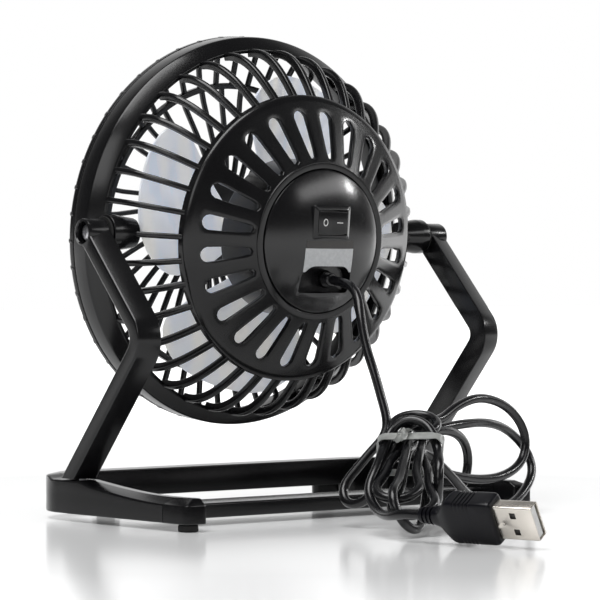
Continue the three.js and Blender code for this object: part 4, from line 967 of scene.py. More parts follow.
@dataclass
class FrontGrille:
    """Front grille: a rim beaded with the ends of its ribs, two rings of ribs and a plain cap."""

    ring_r: float = 70.0
    rear: float = -21.1
    rim_front: float = -23.7
    spigot_r: float = 67.1
    middle_r: float = 52.0
    outer_ribs: int = 46
    inner_ribs: int = 36
    dome: float = 8.0
    cap_r: float = 18.0
    swirl: float = 14.0
    rib_width: float = 1.8
    rib_depth: float = 2.0
    band_half: float = 1.1
    band_depth: float = 2.6

    def face_y(self, r: float) -> float:
        """Height of the ribs' front face at a radius."""
        return self.rim_front - 0.8 - self.dome * (1 - (r / self.ring_r) ** 2)

    def section(self) -> Profile:
        """Rounded section of a rib."""
        return superellipse(self.rib_width / 2, self.rib_depth / 2, 3.2, 12)

    def build(self, paints: Paints) -> None:
        """Builds and dresses the grille."""
        r, front = self.ring_r, self.rim_front
        rim = [(self.spigot_r - 1.5, front), (r, front), (r, self.rear), (self.spigot_r, self.rear),
               (self.spigot_r, self.rear + 4.6), (self.spigot_r - 1.5, self.rear + 4.6)]
        draft = Draft().revolve(rounded(rim, (0.5, 1.0, 0.3, 0, 0.4, 0.4), 3), 184)
        middle = self.face_y(self.middle_r) - 0.3
        half = self.band_half
        band = rectangle((self.middle_r - half, middle), (self.middle_r + half, middle + self.band_depth))
        draft.revolve(rounded(band, 0.5, 3), 144)
        outer_path = [(r - 0.85, self.rear - 0.45), (r - 0.85, front + 0.65), (r - 1.3, front - 0.3),
                      (r - 2.6, front - 0.55)]
        outer_path += [(q, self.face_y(q) + 1.0) for q in (r - 4, r - 8, r - 13, self.middle_r)]
        outer = radial_sweep(outer_path, self.section())
        for i in range(self.outer_ribs):
            draft.add(outer, about_y((i + 0.5) / self.outer_ribs * TURN))
        steps = 7
        radii = [lerp(self.middle_r, self.cap_r - 0.5, i / steps) for i in range(steps + 1)]
        turns = [radians(self.swirl) * (i / steps) ** 1.5 for i in range(steps + 1)]
        inner = radial_sweep([(q, self.face_y(q) + 1.0) for q in radii], self.section(), turns)
        for i in range(self.inner_ribs):
            draft.add(inner, about_y((i + 0.5) / self.inner_ribs * TURN))
        face, cap = self.face_y(self.cap_r), self.cap_r
        top = self.face_y(0) - 0.8
        draft.turned(
            [(0.05, face + 2.4), (cap - 0.4, face + 2.4), (cap, face + 2.0), (cap, face + 0.7),
            (cap - 0.35, face + 0.1), (cap * 0.86, lerp(face, top, 0.24)),
            (cap * 0.6, lerp(face, top, 0.62)), (cap * 0.3, lerp(face, top, 0.9)), (0.05, top)], 96)
        grille = smoothed(draft.moved(HEAD).build("front_grille_moulding", 0.003), 38)
        finished(grille, Body.HEAD, paints.satin, ["front_grille"])


@dataclass
class MotorCover:
    """Polished domed cover with the recess that the lead comes out of, and its blank rating plate."""

    radius: float = 25.1
    edge_y: float = 29.8
    dome: float = 5.5
    foot: float = 27.5
    recess_half: float = 10.75
    recess_top: float = -9.0
    recess_bottom: float = -17.6
    recess_floor: float = 29.4
    recess_corner: float = 5.2
    relief_seat_r: float = 3.2
    relief: Pair = (-3.0, -13.2)
    plate_half: float = 10.6
    plate_top: float = 0.6
    plate_bottom: float = -10.4
    plate_thickness: float = 0.12

    def y(self, r: float) -> float:
        """Height of the dome at a radius."""
        return self.edge_y + self.dome * (1 - (r / self.radius) ** 2.4)

    def recess(self, grow: float = 0.0) -> Profile:
        """Outline of the recess as (x, z): flat below, rounded above."""
        half, top, bottom = self.recess_half + grow, self.recess_top + grow, self.recess_bottom - grow
        corner = self.recess_corner
        return rounded(rectangle((-half, bottom), (half, top)), (1.2, 1.2, corner, corner), 6)

    def shell(self, paints: Paints) -> None:
        """Builds the dome."""
        radii = [self.radius * s for s in (0.993, 0.975, 0.94, 0.88, 0.8, 0.7, 0.58, 0.45, 0.3, 0.15)]
        outline = [(0.03, self.foot), (self.radius, self.foot), (self.radius, self.edge_y - 0.55),
                   (self.radius - 0.06, self.edge_y - 0.2)]
        outline += [(r, self.y(r)) for r in radii] + [(0.03, self.y(0))]
        solid = Draft().turned(outline, 160).build("motor_cover_shell")
        floor = self.recess_floor
        lower = [Vector((x, floor, z)) for x, z in self.recess()]
        upper = [Vector((x, floor + 9, z)) for x, z in self.recess(0.7)]
        seat_r = self.relief_seat_r
        relief = Draft().turned([(seat_r, self.foot - 1), (seat_r, floor + 1)], 32)
        relief.moved(Matrix.Translation((self.relief[0], 0, self.relief[1])))
        carved(solid, Draft().skin([lower, upper]), relief)
        softened(solid, 0.3, 2, 28)
        finished(smoothed(placed(solid, HEAD), 30), Body.HEAD, paints.gloss, ["motor_cover"])

    def plate_patch(self, half: float, top: float, bottom: float, lift: float) -> Draft:
        """Thin patch that follows the dome.

        Args:
            half: Half its width.
            top: Its upper edge.
            bottom: Its lower edge.
            lift: Height of its face above the dome.

        Returns:
            The patch, as a closed draft.
        """
        columns, rows = 26, 14

        def grid(height: float) -> list[list[Vector]]:
            """Points of one face, held above the recess's rounded top edge."""
            made = []
            for k in range(rows + 1):
                line = []
                for i in range(columns + 1):
                    x = lerp(-half, half, i / columns)
                    edge = self.recess_top + 0.75
                    radius = self.recess_corner
                    past = abs(x) - (self.recess_half - radius)
                    if past > 0:
                        edge -= radius - sqrt(max(radius ** 2 - past ** 2, 0))
                    low = max(bottom, edge)
                    z = lerp(top, low, k / rows)
                    line.append(Vector((x, self.y(hypot(x, z)) + height, z)))
                made.append(line)
            return made

        face, back = grid(lift), grid(-0.1)
        draft = Draft().sheet(face).sheet(back)
        for line in (lambda g: g[0], lambda g: g[-1], lambda g: [row[0] for row in g],
                     lambda g: [row[-1] for row in g]):
            draft.sheet([line(face), line(back)])
        return draft

    def rating_plate(self, paints: Paints) -> None:
        """Adds the blank plate: a dark strip along the top of a pale field."""
        strip = self.plate_top - 2.7
        field_piece = self.plate_patch(self.plate_half, strip, self.plate_bottom, self.plate_thickness)
        strip_piece = self.plate_patch(
            self.plate_half - 0.3, self.plate_top, strip, self.plate_thickness * 0.7)
        for name, draft, paint in (("rating_plate_field", field_piece, paints.label),
                                   ("rating_plate_strip", strip_piece, paints.band)):
            made = smoothed(draft.moved(HEAD).build(name, 0.002), 40)
            finished(made, Body.HEAD, paint)

    def relief_boot(self, paints: Paints) -> None:
        """Adds the tapered strain relief with its grooves."""
        x, z = self.relief
        floor = self.recess_floor
        outline = [(0.05, floor - 1.9), (3.7, floor - 1.9), (3.7, floor - 1.6), (2.8, floor - 1.4),
                   (2.85, floor + 0.4), (2.75, floor + 0.8)]
        for k in range(3):
            y = floor + 1.0 + k * 0.85
            r = 2.72 - k * 0.14
            outline += [(r, y), (r - 0.3, y + 0.12), (r - 0.3, y + 0.4), (r - 0.04, y + 0.52)]
        outline += [(2.25, floor + 3.75), (1.9, floor + 4.0), (0.05, floor + 4.0)]
        draft = Draft().turned(outline, 40).moved(HEAD @ Matrix.Translation((x, 0, z)))
        finished(smoothed(draft.build("strain_relief_boot"), 50), Body.HEAD, paints.cord,
                 ["strain_relief"])

    def build(self, paints: Paints) -> None:
        """Builds and dresses the cover's pieces."""
        self.shell(paints)
        self.rating_plate(paints)
        self.relief_boot(paints)


@dataclass
class RockerSwitch:
    """Snap-in switch with a sloping bezel and a rocker marked with a circle and a bar."""

    centre_z: float = 7.0
    width: float = 16.2
    height: float = 12.0
    back_y: float = 33.82
    top_y: float = 35.75
    rocker_width: float = 12.0
    rocker_height: float = 7.8
    axis_y: float = 34.62
    rest: float = -8.0
    face_slope: float = 6.0
    play: float = 0.25

    def frame(self, half_w: float, half_h: float, corner: float, y: float) -> list[Vector]:
        """Rounded rectangle about the switch's centre at a height."""
        outline = rounded(rectangle((-half_w, -half_h), (half_w, half_h)), corner, 5)
        return [Vector((x, y, z + self.centre_z)) for x, z in outline]

    def bezel(self, paints: Paints) -> None:
        """Adds the housing: a frame that slopes down to its outer edge and into its well."""
        w, h, b, t = self.width / 2, self.height / 2, self.back_y, self.top_y
        inner_w, inner_h = self.rocker_width / 2 + 0.3, self.rocker_height / 2 + 0.3
        rows = [self.frame(w - 1.0, h - 1.0, 0.5, b - 5), self.frame(w - 1.0, h - 1.0, 0.5, b),
                self.frame(w, h, 0.8, b), self.frame(w, h, 0.8, b + 1.0),
                self.frame(w - 0.1, h - 0.1, 0.8, b + 1.25), self.frame(w - 0.3, h - 0.3, 0.8, b + 1.4),
                self.frame(inner_w + 0.42, inner_h + 0.42, 0.65, t - 0.06),
                self.frame(inner_w + 0.3, inner_h + 0.3, 0.5, t),
                self.frame(inner_w + 0.06, inner_h + 0.06, 0.4, t - 0.2),
                self.frame(inner_w, inner_h, 0.35, t - 0.9), self.frame(inner_w, inner_h, 0.35, b - 4.2)]
        draft = Draft().skin(rows).moved(HEAD)
        housing = smoothed(draft.build("switch_bezel"), 25)
        finished(housing, Body.HEAD, paints.satin, ["switch_housing"])

    def rocker_top(self, share: float) -> float:
        """Height of the rocker's face above its axis, from its middle at 0 to an end at 1."""
        rise = (self.rocker_width / 2 - self.play) * tan(radians(self.face_slope))
        return 0.98 + share * rise - 0.25 * share ** 6

    def rocker(self, paints: Paints) -> None:
        """Adds the rocker with its marks, pressed in at the circle's end."""
        half, h = self.rocker_width / 2 - self.play, self.rocker_height / 2
        rest = Matrix.Rotation(radians(self.rest), 4, "Z")
        turn = HEAD @ Matrix.Translation((0, self.axis_y, self.centre_z)) @ rest
        columns = [-1 + i / 12 for i in range(25)]
        outline = [(half * c, self.rocker_top(abs(c))) for c in columns]
        outline += [(half - 0.5, -0.9), (half * 0.55, -2.4), (1.0, -3.2), (-1.0, -3.2),
                    (-half * 0.55, -2.4), (0.5 - half, -0.9)]
        rows = []
        for inset, z in ((0.3, -h), (0.08, -h + 0.08), (0, -h + 0.3), (0, h - 0.3), (0.08, h - 0.08),
                         (0.3, h)):
            rows.append([Vector((x * (1 - inset / half), y - inset if y > 0 else y + inset * 0.5, z))
                         for x, y in outline])
        body = smoothed(Draft().skin(rows).moved(turn).build("rocker_body"), 30)
        finished(body, Body.ROCKER, paints.satin, ["switch_rocker"])
        circle = Draft().revolve(rectangle((0.85, -0.06), (1.15, 0.05)), 40)
        circle.moved(Matrix.Diagonal((0.86, 1, 1.12, 1)))
        outline = rounded(rectangle((-1.1, -0.15), (1.1, 0.15)), 0.1, 2)
        bar = Draft().skin([[Vector((x, y, z)) for x, z in outline] for y in (-0.06, 0.05)])
        for name, draft, side in (("rocker_mark_off", circle, 1), ("rocker_mark_on", bar, -1)):
            x = side * half * 0.5
            slope = Matrix.Rotation(side * radians(self.face_slope), 4, "Z")
            spot = Matrix.Translation((x, self.rocker_top(0.5), 0)) @ slope
            finished(draft.moved(turn @ spot).build(name), Body.ROCKER, paints.mark)

    def build(self, paints: Paints) -> None:
        """Builds and dresses the switch."""
        self.bezel(paints)
        self.rocker(paints)


@dataclass
class Impeller:
    """Impeller of one bright sheet with four broad blades, on a dark plastic hub."""

    tip_r: float = 57.0
    blades: int = 4
    sheet: float = 1.0
    disc_r: float = 13.5
    disc_y: float = -3.5
    sweep: float = 68.0
    depth: float = 15.0
    first: float = 8.0
    root_sweep: float = 34.0
    root_depth: float = 2.4
    lag: float = 10.0
    camber: float = 2.2
    tip_start: float = 0.72
    tip_span: float = 0.2836

    def row(self, share: float, lift: float, cells: int, shrink: float = 0.0) -> list[Vector]:
        """Points across a blade, from its rear edge to its front edge.

        Args:
            share: 0 at the disc and 1 at the tip.
            lift: Distance behind the middle of the sheet.
            cells: Number of spaces between the points.
            shrink: How much is taken off each edge.

        Returns:
            The points.
        """
        r = lerp(self.disc_r - 2.5, self.tip_r, share)
        growth = sin(min(share / 0.6, 1) * pi / 2)
        trim = 0.3 + 0.7 * sqrt(max(1 - max((share - self.tip_start) / self.tip_span, 0) ** 2, 0))
        sweep = radians(lerp(self.root_sweep, self.sweep, growth) * trim) - 2 * shrink / r
        depth = lerp(self.root_depth, self.depth, growth) * trim
        middle = radians(self.first + self.lag * share)
        made = []
        for i in range(cells + 1):
            t = i / cells - 0.5
            turn = middle + t * sweep
            bow = self.camber * share * (0.25 - t * t)
            y = self.disc_y + self.sheet / 2 - share * 0.4 - t * depth - bow + lift
            made.append(Vector((r * cos(turn), y, r * sin(turn))))
        return made

    def blade(self) -> Draft:
        """One blade with rounded edges."""
        half, cells = self.sheet / 2, 18
        shares = [0, 0.06, 0.12, 0.2, 0.3, 0.42, 0.55, 0.66, 0.74, 0.8, 0.86, 0.91, 0.95, 0.98, 1]
        rows = []
        for share in shares:
            low, high = (self.row(share, lift, cells, 0.3) for lift in (-half, half))
            under, over = (self.row(share, lift * 0.4, cells) for lift in (-half, half))
            rows.append(low + under[-1:] + over[-1:] + high[::-1] + over[:1] + under[:1])
        return Draft().skin(rows)

    def build(self, paints: Paints) -> None:
        """Builds and dresses the impeller, its hub and its nut."""
        y, s = self.disc_y, self.sheet
        draft = Draft().revolve(rounded(rectangle((3.3, y), (self.disc_r, y + s)), 0.2, 2), 64)
        blade = self.blade()
        for i in range(self.blades):
            draft.add(blade, about_y(i / self.blades * TURN))
        fan = smoothed(draft.moved(HEAD).build("impeller_blades"), 40)
        finished(fan, Body.ROTOR, paints.aluminium, ["fan_impeller"])
        back = y + s + GAP
        outline = [(1.3, back - 4.6), (3.0, back - 4.6), (3.0, back), (10.0, back), (10.0, back + 2.4),
                   (6.4, 5.1), (1.3, 5.1)]
        hub = Draft().revolve(rounded(outline, (0, 0.3, 0, 0.4, 0.6, 0.5, 0), 3), 56)
        webs = 8
        for k in range(webs):
            web = [Vector((x, back + 2.2, z)) for x, z in rectangle((6.2, -0.5), (9.2, 0.5))]
            hub.add(Draft().plate(web, (0, 0.9, 0)), about_y((k + 0.5) / webs * TURN))
        finished(smoothed(hub.moved(HEAD).build("hub_moulding"), 35), Body.ROTOR, paints.satin,
                 ["impeller_hub"])
        front = y - GAP - 6.0
        nut = Draft().turned([(0.05, front), (3.2, front + 0.15), (4.8, front + 0.9), (5.6, front + 2.2),
                              (6.0, y - GAP - 0.3), (5.8, y - GAP), (0.05, y - GAP)], 48)
        finished(smoothed(nut.moved(HEAD).build("hub_nut_cap"), 35), Body.ROTOR, paints.satin,
                 ["hub_nut"])


# ---------------------------------------------------------------- stand


@dataclass
class Arms:
    """Two chevron arms that carry the head, with their washers and pivot screws."""

    half_width: float = 80.6
    thickness: float = 8.2
    width: float = 8.6
    bevel_rear: float = 2.0
    bevel_front: float = 1.3
    eye_r: float = 4.9
    upper: float = 48.9
    upper_angle: float = 43.0
    lower_angle: float = 41.2
    knee_r: float = 8.0
    pad_top: float = 14.3
    recess_r: float = 3.7
    recess_depth: float = 3.6

    def section(self, centre: Vector, along: Vector) -> list[Vector]:
        """Outline of the arm at a point of its middle line, in its own frame."""
        across = Vector((-along.y, along.x))
        half, t = self.width / 2, self.thickness
        corners = [(0, -half), (t, self.bevel_front - half), (t, half - self.bevel_rear), (0, half)]
        outline = rounded(corners, (0.35, 0.9, 0.9, 0.35), 4)
        return [Vector((x, centre.x + across.x * v, centre.y + across.y * v)) for x, v in outline]

    def arm(self, name: str) -> Thing:
        """The arm on the +X side."""
        up, low = radians(self.upper_angle), radians(self.lower_angle)
        upper, lower = Vector((sin(up), -cos(up))), Vector((-sin(low), -cos(low)))
        knee = upper * self.upper
        drop = PIVOT.z - self.pad_top - GAP + knee.y
        foot = knee + lower * (drop / -lower.y)
        turn = up + low
        start = knee - upper * (self.knee_r * tan(turn / 2))
        centre = start + Vector((upper.y, -upper.x)) * self.knee_r
        rows = [self.section(upper * d, upper) for d in (0, 6, 14, 24, 34)]
        steps = 12
        for i in range(steps + 1):
            spin = Matrix.Rotation(-turn * i / steps, 2)
            rows.append(self.section(centre + spin @ (start - centre), spin @ upper))
        rows += [self.section(lower * d + knee, lower) for d in (14, 28, 42)]
        level = []
        for corner in self.section(foot, lower):
            slide = (corner.z - foot.y) / -lower.y
            level.append(corner + Vector((0, lower.x * slide, lower.y * slide)))
        rows.append(level)
        thing = Draft().skin(rows).build(name)
        t, eye = self.thickness, self.eye_r
        disc = Draft().turned(
            [(0.05, 0.02), (eye - 0.3, 0.02), (eye, 0.35), (eye, t - 0.9), (eye - 0.25, t - 0.25),
            (eye - 0.9, t + 0.03), (0.05, t + 0.03)], 48).moved(ALONG_X)
        carved(thing, disc, operation="UNION")
        rim = self.recess_r
        recess = Draft().turned([(rim, t - self.recess_depth), (rim, t - 0.35), (rim + 0.3, t + 0.1),
                                 (rim + 0.6, t + 1)], 40)
        carved(thing, recess.moved(ALONG_X), Draft().turned([(1.8, -1), (1.8, t)], 24).moved(ALONG_X))
        return placed(thing, Matrix.Translation((self.half_width - self.thickness, PIVOT.y, PIVOT.z)))

    def pivot_screw(self) -> Draft:
        """Pan-head screw about +X, its head's face at X = 0."""
        outline = [(0.03, -16.4), (1.5, -16.2), (1.5, -2.0), (3.0, -2.0), (3.0, -1.15), (2.7, -0.6),
                   (2.0, -0.18), (1.0, 0), (0.03, 0)]
        return Draft().turned(outline, 36).moved(ALONG_X)

    def build(self, paints: Paints) -> None:
        """Builds and dresses both arms with their screws."""
        head_face = self.half_width - self.recess_depth + GAP + 2.0
        for name, side in (("right", 1), ("left", -1)):
            arm = self.arm(f"arm_moulding_{name}")
            screw = self.pivot_screw().build(f"pivot_screw_steel_{name}")
            for y, z in ((1.5, 0.28), (0.28, 1.5)):
                carved(screw, prism(rounded(rectangle((-y, -z), (y, z)), 0.12, 2), (-1.1, 0.5)))
            placed(screw, Matrix.Translation((head_face, PIVOT.y, PIVOT.z)))
            if side < 0:
                for thing in (arm, screw):
                    thing.data.transform(Matrix.Scale(-1, 4, (1, 0, 0)))
                    thing.data.flip_normals()
            finished(smoothed(arm, 32), Body.STAND, paints.satin, [f"arm_{name}"])
            finished(smoothed(screw, 35), Body.STAND, paints.steel, [f"pivot_screw_{name}"])


@dataclass
class Base:
    """Moulded base: two rails joined by a front bar and a lower rear bar, with end caps and rubber feet."""

    half_width: float = 80.6
    front: float = -45.5
    rear: float = 45.5
    bottom: float = 2.6
    rail_width: float = 8.6
    toe: float = 3.3
    straight_end: float = -17.5
    pad_top: float = 14.3
    rear_top: float = 10.9
    bar_top: float = 15.6
    bar_bottom: float = 6.2
    bar_depth: float = 12.0
    corner_r: float = 20.0
    inner_r: float = 6.0
    crown_in: float = 5.2
    seam: float = 33.1
    rear_bar: Triple = (9.5, 26.5, 7.6)
    cap_r: float = 2.6
    foot_r: float = 3.4
    front_foot_x: float = 50.0
    rear_foot_in: float = 4.5

    def toe_in(self, y: float) -> float:
        """How far a rail has moved inwards at a place along it."""
        return max(y - self.straight_end, 0) * tan(radians(self.toe))

    def dip(self, y: float) -> float:
        """0 at the arm's pad and 1 where the rail has reached its rear height."""
        return clamp((y - PIVOT.y + 2.5) / 44.5)

    def crown(self, y: float) -> float:
        """Height of a rail's crown."""
        return lerp(self.pad_top, self.rear_top, sin(self.dip(y) * pi / 2))

    def section(self, inner: Point, outer: Point, bottom: float, top: float, crown_in: float,
                drop: float) -> list[Vector]:
        """Outline across a rail or the front bar.

        Args:
            inner: Its inner edge in plan.
            outer: Its outer edge in plan.
            bottom: Height of its underside.
            top: Height of its crown.
            crown_in: Distance from the outer edge to the crown.
            drop: How far the outer top edge lies below the crown.

        Returns:
            The outline's points.
        """
        a, b = Vector(inner), Vector(outer)
        span = (b - a).length
        flat = [(0, bottom), (span, bottom), (span, top - drop), (span - crown_in, top), (0, top)]
        outline = rounded(flat, (0.3, 0.5, 0.75, 2.0, 0.55), 4)
        direction = (b - a) / span
        return [Vector((a.x + direction.x * u, a.y + direction.y * u, v)) for u, v in outline]

    def rail_section(self, y: float) -> list[Vector]:
        """Outline of the +X rail at a place along it."""
        outer = self.half_width - self.toe_in(y)
        share = self.dip(y)
        drop = 0.25 if share <= 0 else lerp(0.25, lerp(0.9, 2.1, share), smooth(share * 8))
        return self.section((outer - self.rail_width, y), (outer, y), self.bottom, self.crown(y),
                            self.crown_in, drop)

    def raised(self, row: list[Vector]) -> list[Vector]:
        """An outline lifted, where it lies in front of the arms, to the front bar's height."""
        ramp = self.front + self.bar_depth
        made = []
        for point in row:
            share = 1 - smooth((point.y - ramp - 1) / 4)
            lift = (self.bar_top - self.pad_top) * share * clamp((point.z - 8) / 4)
            made.append(point + Vector((0, 0, lift)))
        return made

    def frame(self, paints: Paints) -> None:
        """Adds the one-piece frame."""
        places = (self.seam, 32.9, 30, 26.5, 22, 17, 12, 7, 2, -3, -7, -9.5, -10.6, -11.4, -12.2, -13.5,
                  -17.5, -21.5, -24.5, -25.5)
        rows = [self.rail_section(y) for y in places]
        w, f, depth = self.half_width, self.front, self.bar_depth
        outer_c, inner_c = (w - self.corner_r, f + self.corner_r), (
            w - self.rail_width - self.inner_r, f + depth + self.inner_r)
        steps = 16
        for i in range(1, steps + 1):
            a = radians(-90 * i / steps)
            outer = (outer_c[0] + self.corner_r * cos(a), outer_c[1] + self.corner_r * sin(a))
            inner = (inner_c[0] + self.inner_r * cos(a), inner_c[1] + self.inner_r * sin(a))
            share = i / steps
            rows.append(self.section(inner, outer, self.bottom, self.pad_top, lerp(5.2, 2.4, share),
                                     lerp(0.25, 1.2, share)))
        for x, bottom in ((60.2, self.bottom), (59.6, self.bar_bottom), (40, self.bar_bottom),
                          (20, self.bar_bottom)):
            rows.append(self.section((x, f + depth), (x, f), bottom, self.pad_top, 2.4, 1.2))
        rows = [self.raised(row) for row in rows]
        mirrored = [[Vector((-p.x, p.y, p.z)) for p in row] for row in reversed(rows)]
        draft = Draft().skin(rows + mirrored)
        y0, y1, top = self.rear_bar
        bar = rounded(rectangle((y0, self.bottom), (y1, top)), (0.3, 0.5, 0.9, 0.9), 4)
        half = self.half_width - self.toe_in(y0) - self.rail_width + 0.6
        draft.add(prism(bar, (-half, -half / 2, 0, half / 2, half)))
        for side in (-1, 1):
            boss = [(0.05, self.bottom + 0.02), (4.7, self.bottom + 0.02), (5.0, self.bottom + 0.3),
                    (5.0, 7.0), (0.05, 7.0)]
            draft.add(Draft().turned(boss, 40),
                      Matrix.Translation((side * self.front_foot_x, f + depth / 2, 0)) @ UPRIGHT)
        frame = smoothed(draft.build("base_moulding"), 35)
        finished(frame, Body.STAND, paints.satin, ["base_frame"])

    def end_cap(self, side: int, name: str, paints: Paints) -> None:
        """Adds one end cap, bevelled outwards and to the rear, from (inset, inner inset, height) levels."""
        start, end, top = self.seam + GAP, self.rear, self.rear_top
        levels = [(0.3, 0, self.bottom), (0, 0, self.bottom + 0.3), (0, 0, top - 2.5), (0.08, 0, top - 2.2),
                  (0.3, 0, top - 2), (2.6, 0, top - 1.05), (4.6, 0.1, top - 0.3), (4.9, 0.2, top - 0.15),
                  (5.3, 0.55, top)]
        near, far = self.half_width - self.toe_in(start), self.half_width - self.toe_in(end)
        rows = []
        for inset, inner_inset, z in levels:
            inner = inner_inset - self.rail_width
            plan = [(near + inner, start), (near - inset, start), (far - inset, end - inset * 0.7),
                    (far + inner, end - inset * 0.7)]
            corner = max(self.cap_r - inset * 0.5, 0.4)
            rows.append([Vector((side * x, y, z))
                         for x, y in rounded(plan, (0.05, 0.05, corner, min(corner, 1.4)), 6)])
        spigot = [(near - self.rail_width + 0.8, self.bottom + 0.6), (near - 0.8, self.bottom + 0.6),
                  (near - 0.8, top - 2.8), (near - 5.4, top - 0.8), (near - self.rail_width + 0.8, top - 0.8)]
        draft = Draft().skin(rows).plate(
            [Vector((side * x, self.seam + 0.02, z)) for x, z in spigot], (0, 0.6, 0))
        cap = smoothed(draft.build(f"rail_cap_{name}"), 28)
        finished(cap, Body.STAND, paints.satin, [f"rail_end_{name}"])

    def foot(self, x: float, y: float, name: str, paints: Paints) -> None:
        """Adds one rubber foot."""
        r, top = self.foot_r, self.bottom - GAP
        outline = [(0.05, 0.22), (1.9, 0.22), (2.2, 0), (r - 0.5, 0), (r - 0.14, 0.14), (r, 0.5),
                   (r - 0.08, top - 0.2), (r - 0.3, top), (2.4, top), (2.4, top + 2.2), (0.05, top + 2.2)]
        draft = Draft().turned(outline, 48)
        draft.moved(Matrix.Translation((x, y, 0)) @ UPRIGHT)
        finished(smoothed(draft.build(f"{name}_rubber"), 40), Body.STAND, paints.rubber, [name])

    def build(self, paints: Paints) -> None:
        """Builds and dresses the base."""
        self.frame(paints)
        rear_y = self.rear - self.rear_foot_in
        rear_x = self.half_width - self.toe_in(rear_y) - self.rail_width / 2
        for name, side in (("right", 1), ("left", -1)):
            self.end_cap(side, name, paints)
            self.foot(side * rear_x, rear_y, f"foot_rear_{name}", paints)
            self.foot(side * self.front_foot_x, self.front + self.bar_depth / 2, f"foot_front_{name}", paints)


# ---------------------------------------------------------------- lead and plug


@dataclass
class Plug:
    """USB plug: a moulded grip with a grooved neck, a folded nickel shell and its tongue."""

    place: Triple = (32.2, 147.8, 8.9)
    heading: float = 106.1
    roll: float = 31.2
    length: float = 21.0
    neck: float = 8.0
    width: float = 15.6
    thickness: float = 8.4
    shell_width: float = 12.0
    shell_thickness: float = 4.5
    shell_length: float = 13.7
    contacts: tuple[float, ...] = (-3.5, -1.0, 1.0, 3.5)

    def matrix(self) -> Matrix:
        """Place of the plug: +X out of its shell and +Z towards its upper narrow side."""
        turn = Matrix.Rotation(radians(self.heading), 4, "Z") @ Matrix.Rotation(radians(self.roll), 4, "X")
        return Matrix.Translation(self.place) @ turn

    def lead_end(self) -> Vector:
        """Where the lead enters the grip."""
        return self.matrix() @ Vector((-self.length - self.neck - GAP, 0, 0))

    def lead_direction(self) -> Vector:
        """Direction of the lead at the grip."""
        return (self.matrix().to_3x3() @ Vector((1, 0, 0))).normalized()

    def grip(self, paints: Paints) -> None:
        """Adds the grip."""
        y, z = self.thickness / 2, self.width / 2
        start = -self.length - self.neck

        def ring(x: float, half_y: float, half_z: float, squareness: float) -> list[Vector]:
            """Section across the grip."""
            return [Vector((x, v, w)) for v, w in superellipse(half_y, half_z, squareness, 48)]

        rows = [ring(start, 2.0, 2.0, 2), ring(start + 0.15, 2.3, 2.3, 2), ring(start + 1.0, 2.5, 2.6, 2)]
        for k in range(3):
            x = start + 1.6 + k * 1.55
            r = 2.55 + k * 0.1
            rows += [ring(x, r, r + 0.15, 2.2), ring(x + 0.1, r - 0.45, r - 0.4, 2.2),
                     ring(x + 0.62, r - 0.45, r - 0.4, 2.2), ring(x + 0.72, r, r + 0.15, 2.2)]
        body = -self.length
        rows += [ring(body - 1.3, 2.95, 3.1, 2.5), ring(body, 3.1, 3.4, 3), ring(body + 0.8, 3.3, 4.1, 4),
                 ring(body + 2.2, 3.75, 5.7, 5), ring(body + 3.6, y - 0.1, z - 0.75, 6),
                 ring(body + 4.6, y, z - 0.2, 7), ring(body + 5.6, y, z, 8)]
        for k in range(5):
            x = body + 7.4 + k * 1.35
            rows += [ring(x, y, z, 8), ring(x + 0.18, y, z - 0.42, 8), ring(x + 0.5, y, z - 0.42, 8),
                     ring(x + 0.68, y, z, 8)]
        rows += [ring(-5.2, y, z, 8), ring(-1.6, y, z, 8), ring(-0.6, y - 0.2, z - 0.2, 8),
                 ring(-0.15, y - 0.6, z - 0.6, 8), ring(0, y - 1.0, z - 1.0, 8)]
        grip = Draft().skin(rows).build("usb_grip_moulding")
        pocket_y, pocket_z = self.shell_thickness / 2 + 0.08, self.shell_width / 2 + 0.08
        pocket = rounded(rectangle((-pocket_y, -pocket_z), (pocket_y, pocket_z)), 0.6, 4)
        carved(grip, prism(pocket, (-5.3, 1.0)))
        self.settle(smoothed(grip, 32), paints.grip, ["usb_grip"])

    def settle(self, thing: Thing, paint: Material, nodes: list[str]) -> None:
        """Moves a piece drawn in the plug's frame to its place and dresses it."""
        finished(placed(thing, self.matrix()), Body.STAND, paint, nodes)

    def shell(self, paints: Paints) -> None:
        """Adds the folded shell with its windows, its dimple and its seam."""
        y, z, wall = self.shell_thickness / 2, self.shell_width / 2, 0.4

        def outline(shrink: float, x: float) -> list[Vector]:
            """Rounded rectangle across the shell."""
            a, b = y - shrink, z - shrink
            radius = max(0.55 - shrink, 0.15)
            return [Vector((x, v, w)) for v, w in rounded(rectangle((-a, -b), (a, b)), radius, 4)]

        end = self.shell_length
        rows = [outline(0, -5), outline(0, end - 0.25), outline(0.07, end - 0.07), outline(0.2, end),
                outline(0.33, end - 0.07), outline(wall, end - 0.3), outline(wall, -4.9)]
        shell = Draft().skin(rows, capped=False, ring=True).build("usb_shell_nickel")
        windows = []
        for side in (-1, 1):
            for level in (-1, 1):
                plan = rounded(rectangle((5.45, side * 3.0 - 1.05), (7.5, side * 3.0 + 1.05)), 0.2, 3)
                windows.append(Draft().skin([[Vector((u, v, w)) for u, w in plan]
                                             for v in (level * (y - 0.6), level * (y + 0.3))]))
        windows.append(Draft().skin([[Vector((u, v, w)) for u, w in arc((2.5, 0), 0.62 + lift, 0, 345, 23)]
                                     for v, lift in ((-y + 0.2, -0.1), (-y - 0.1, 0.1))]))
        seam = [Vector((-1, v, w)) for v, w in rectangle((y - 0.18, -0.06), (y + 0.1, 0.06))]
        windows.append(Draft().plate(seam, (end + 2, 0, 0)))
        carved(shell, *windows)
        self.settle(smoothed(softened(shell, 0.05, 1, 40), 35), paints.nickel, ["usb_shell"])

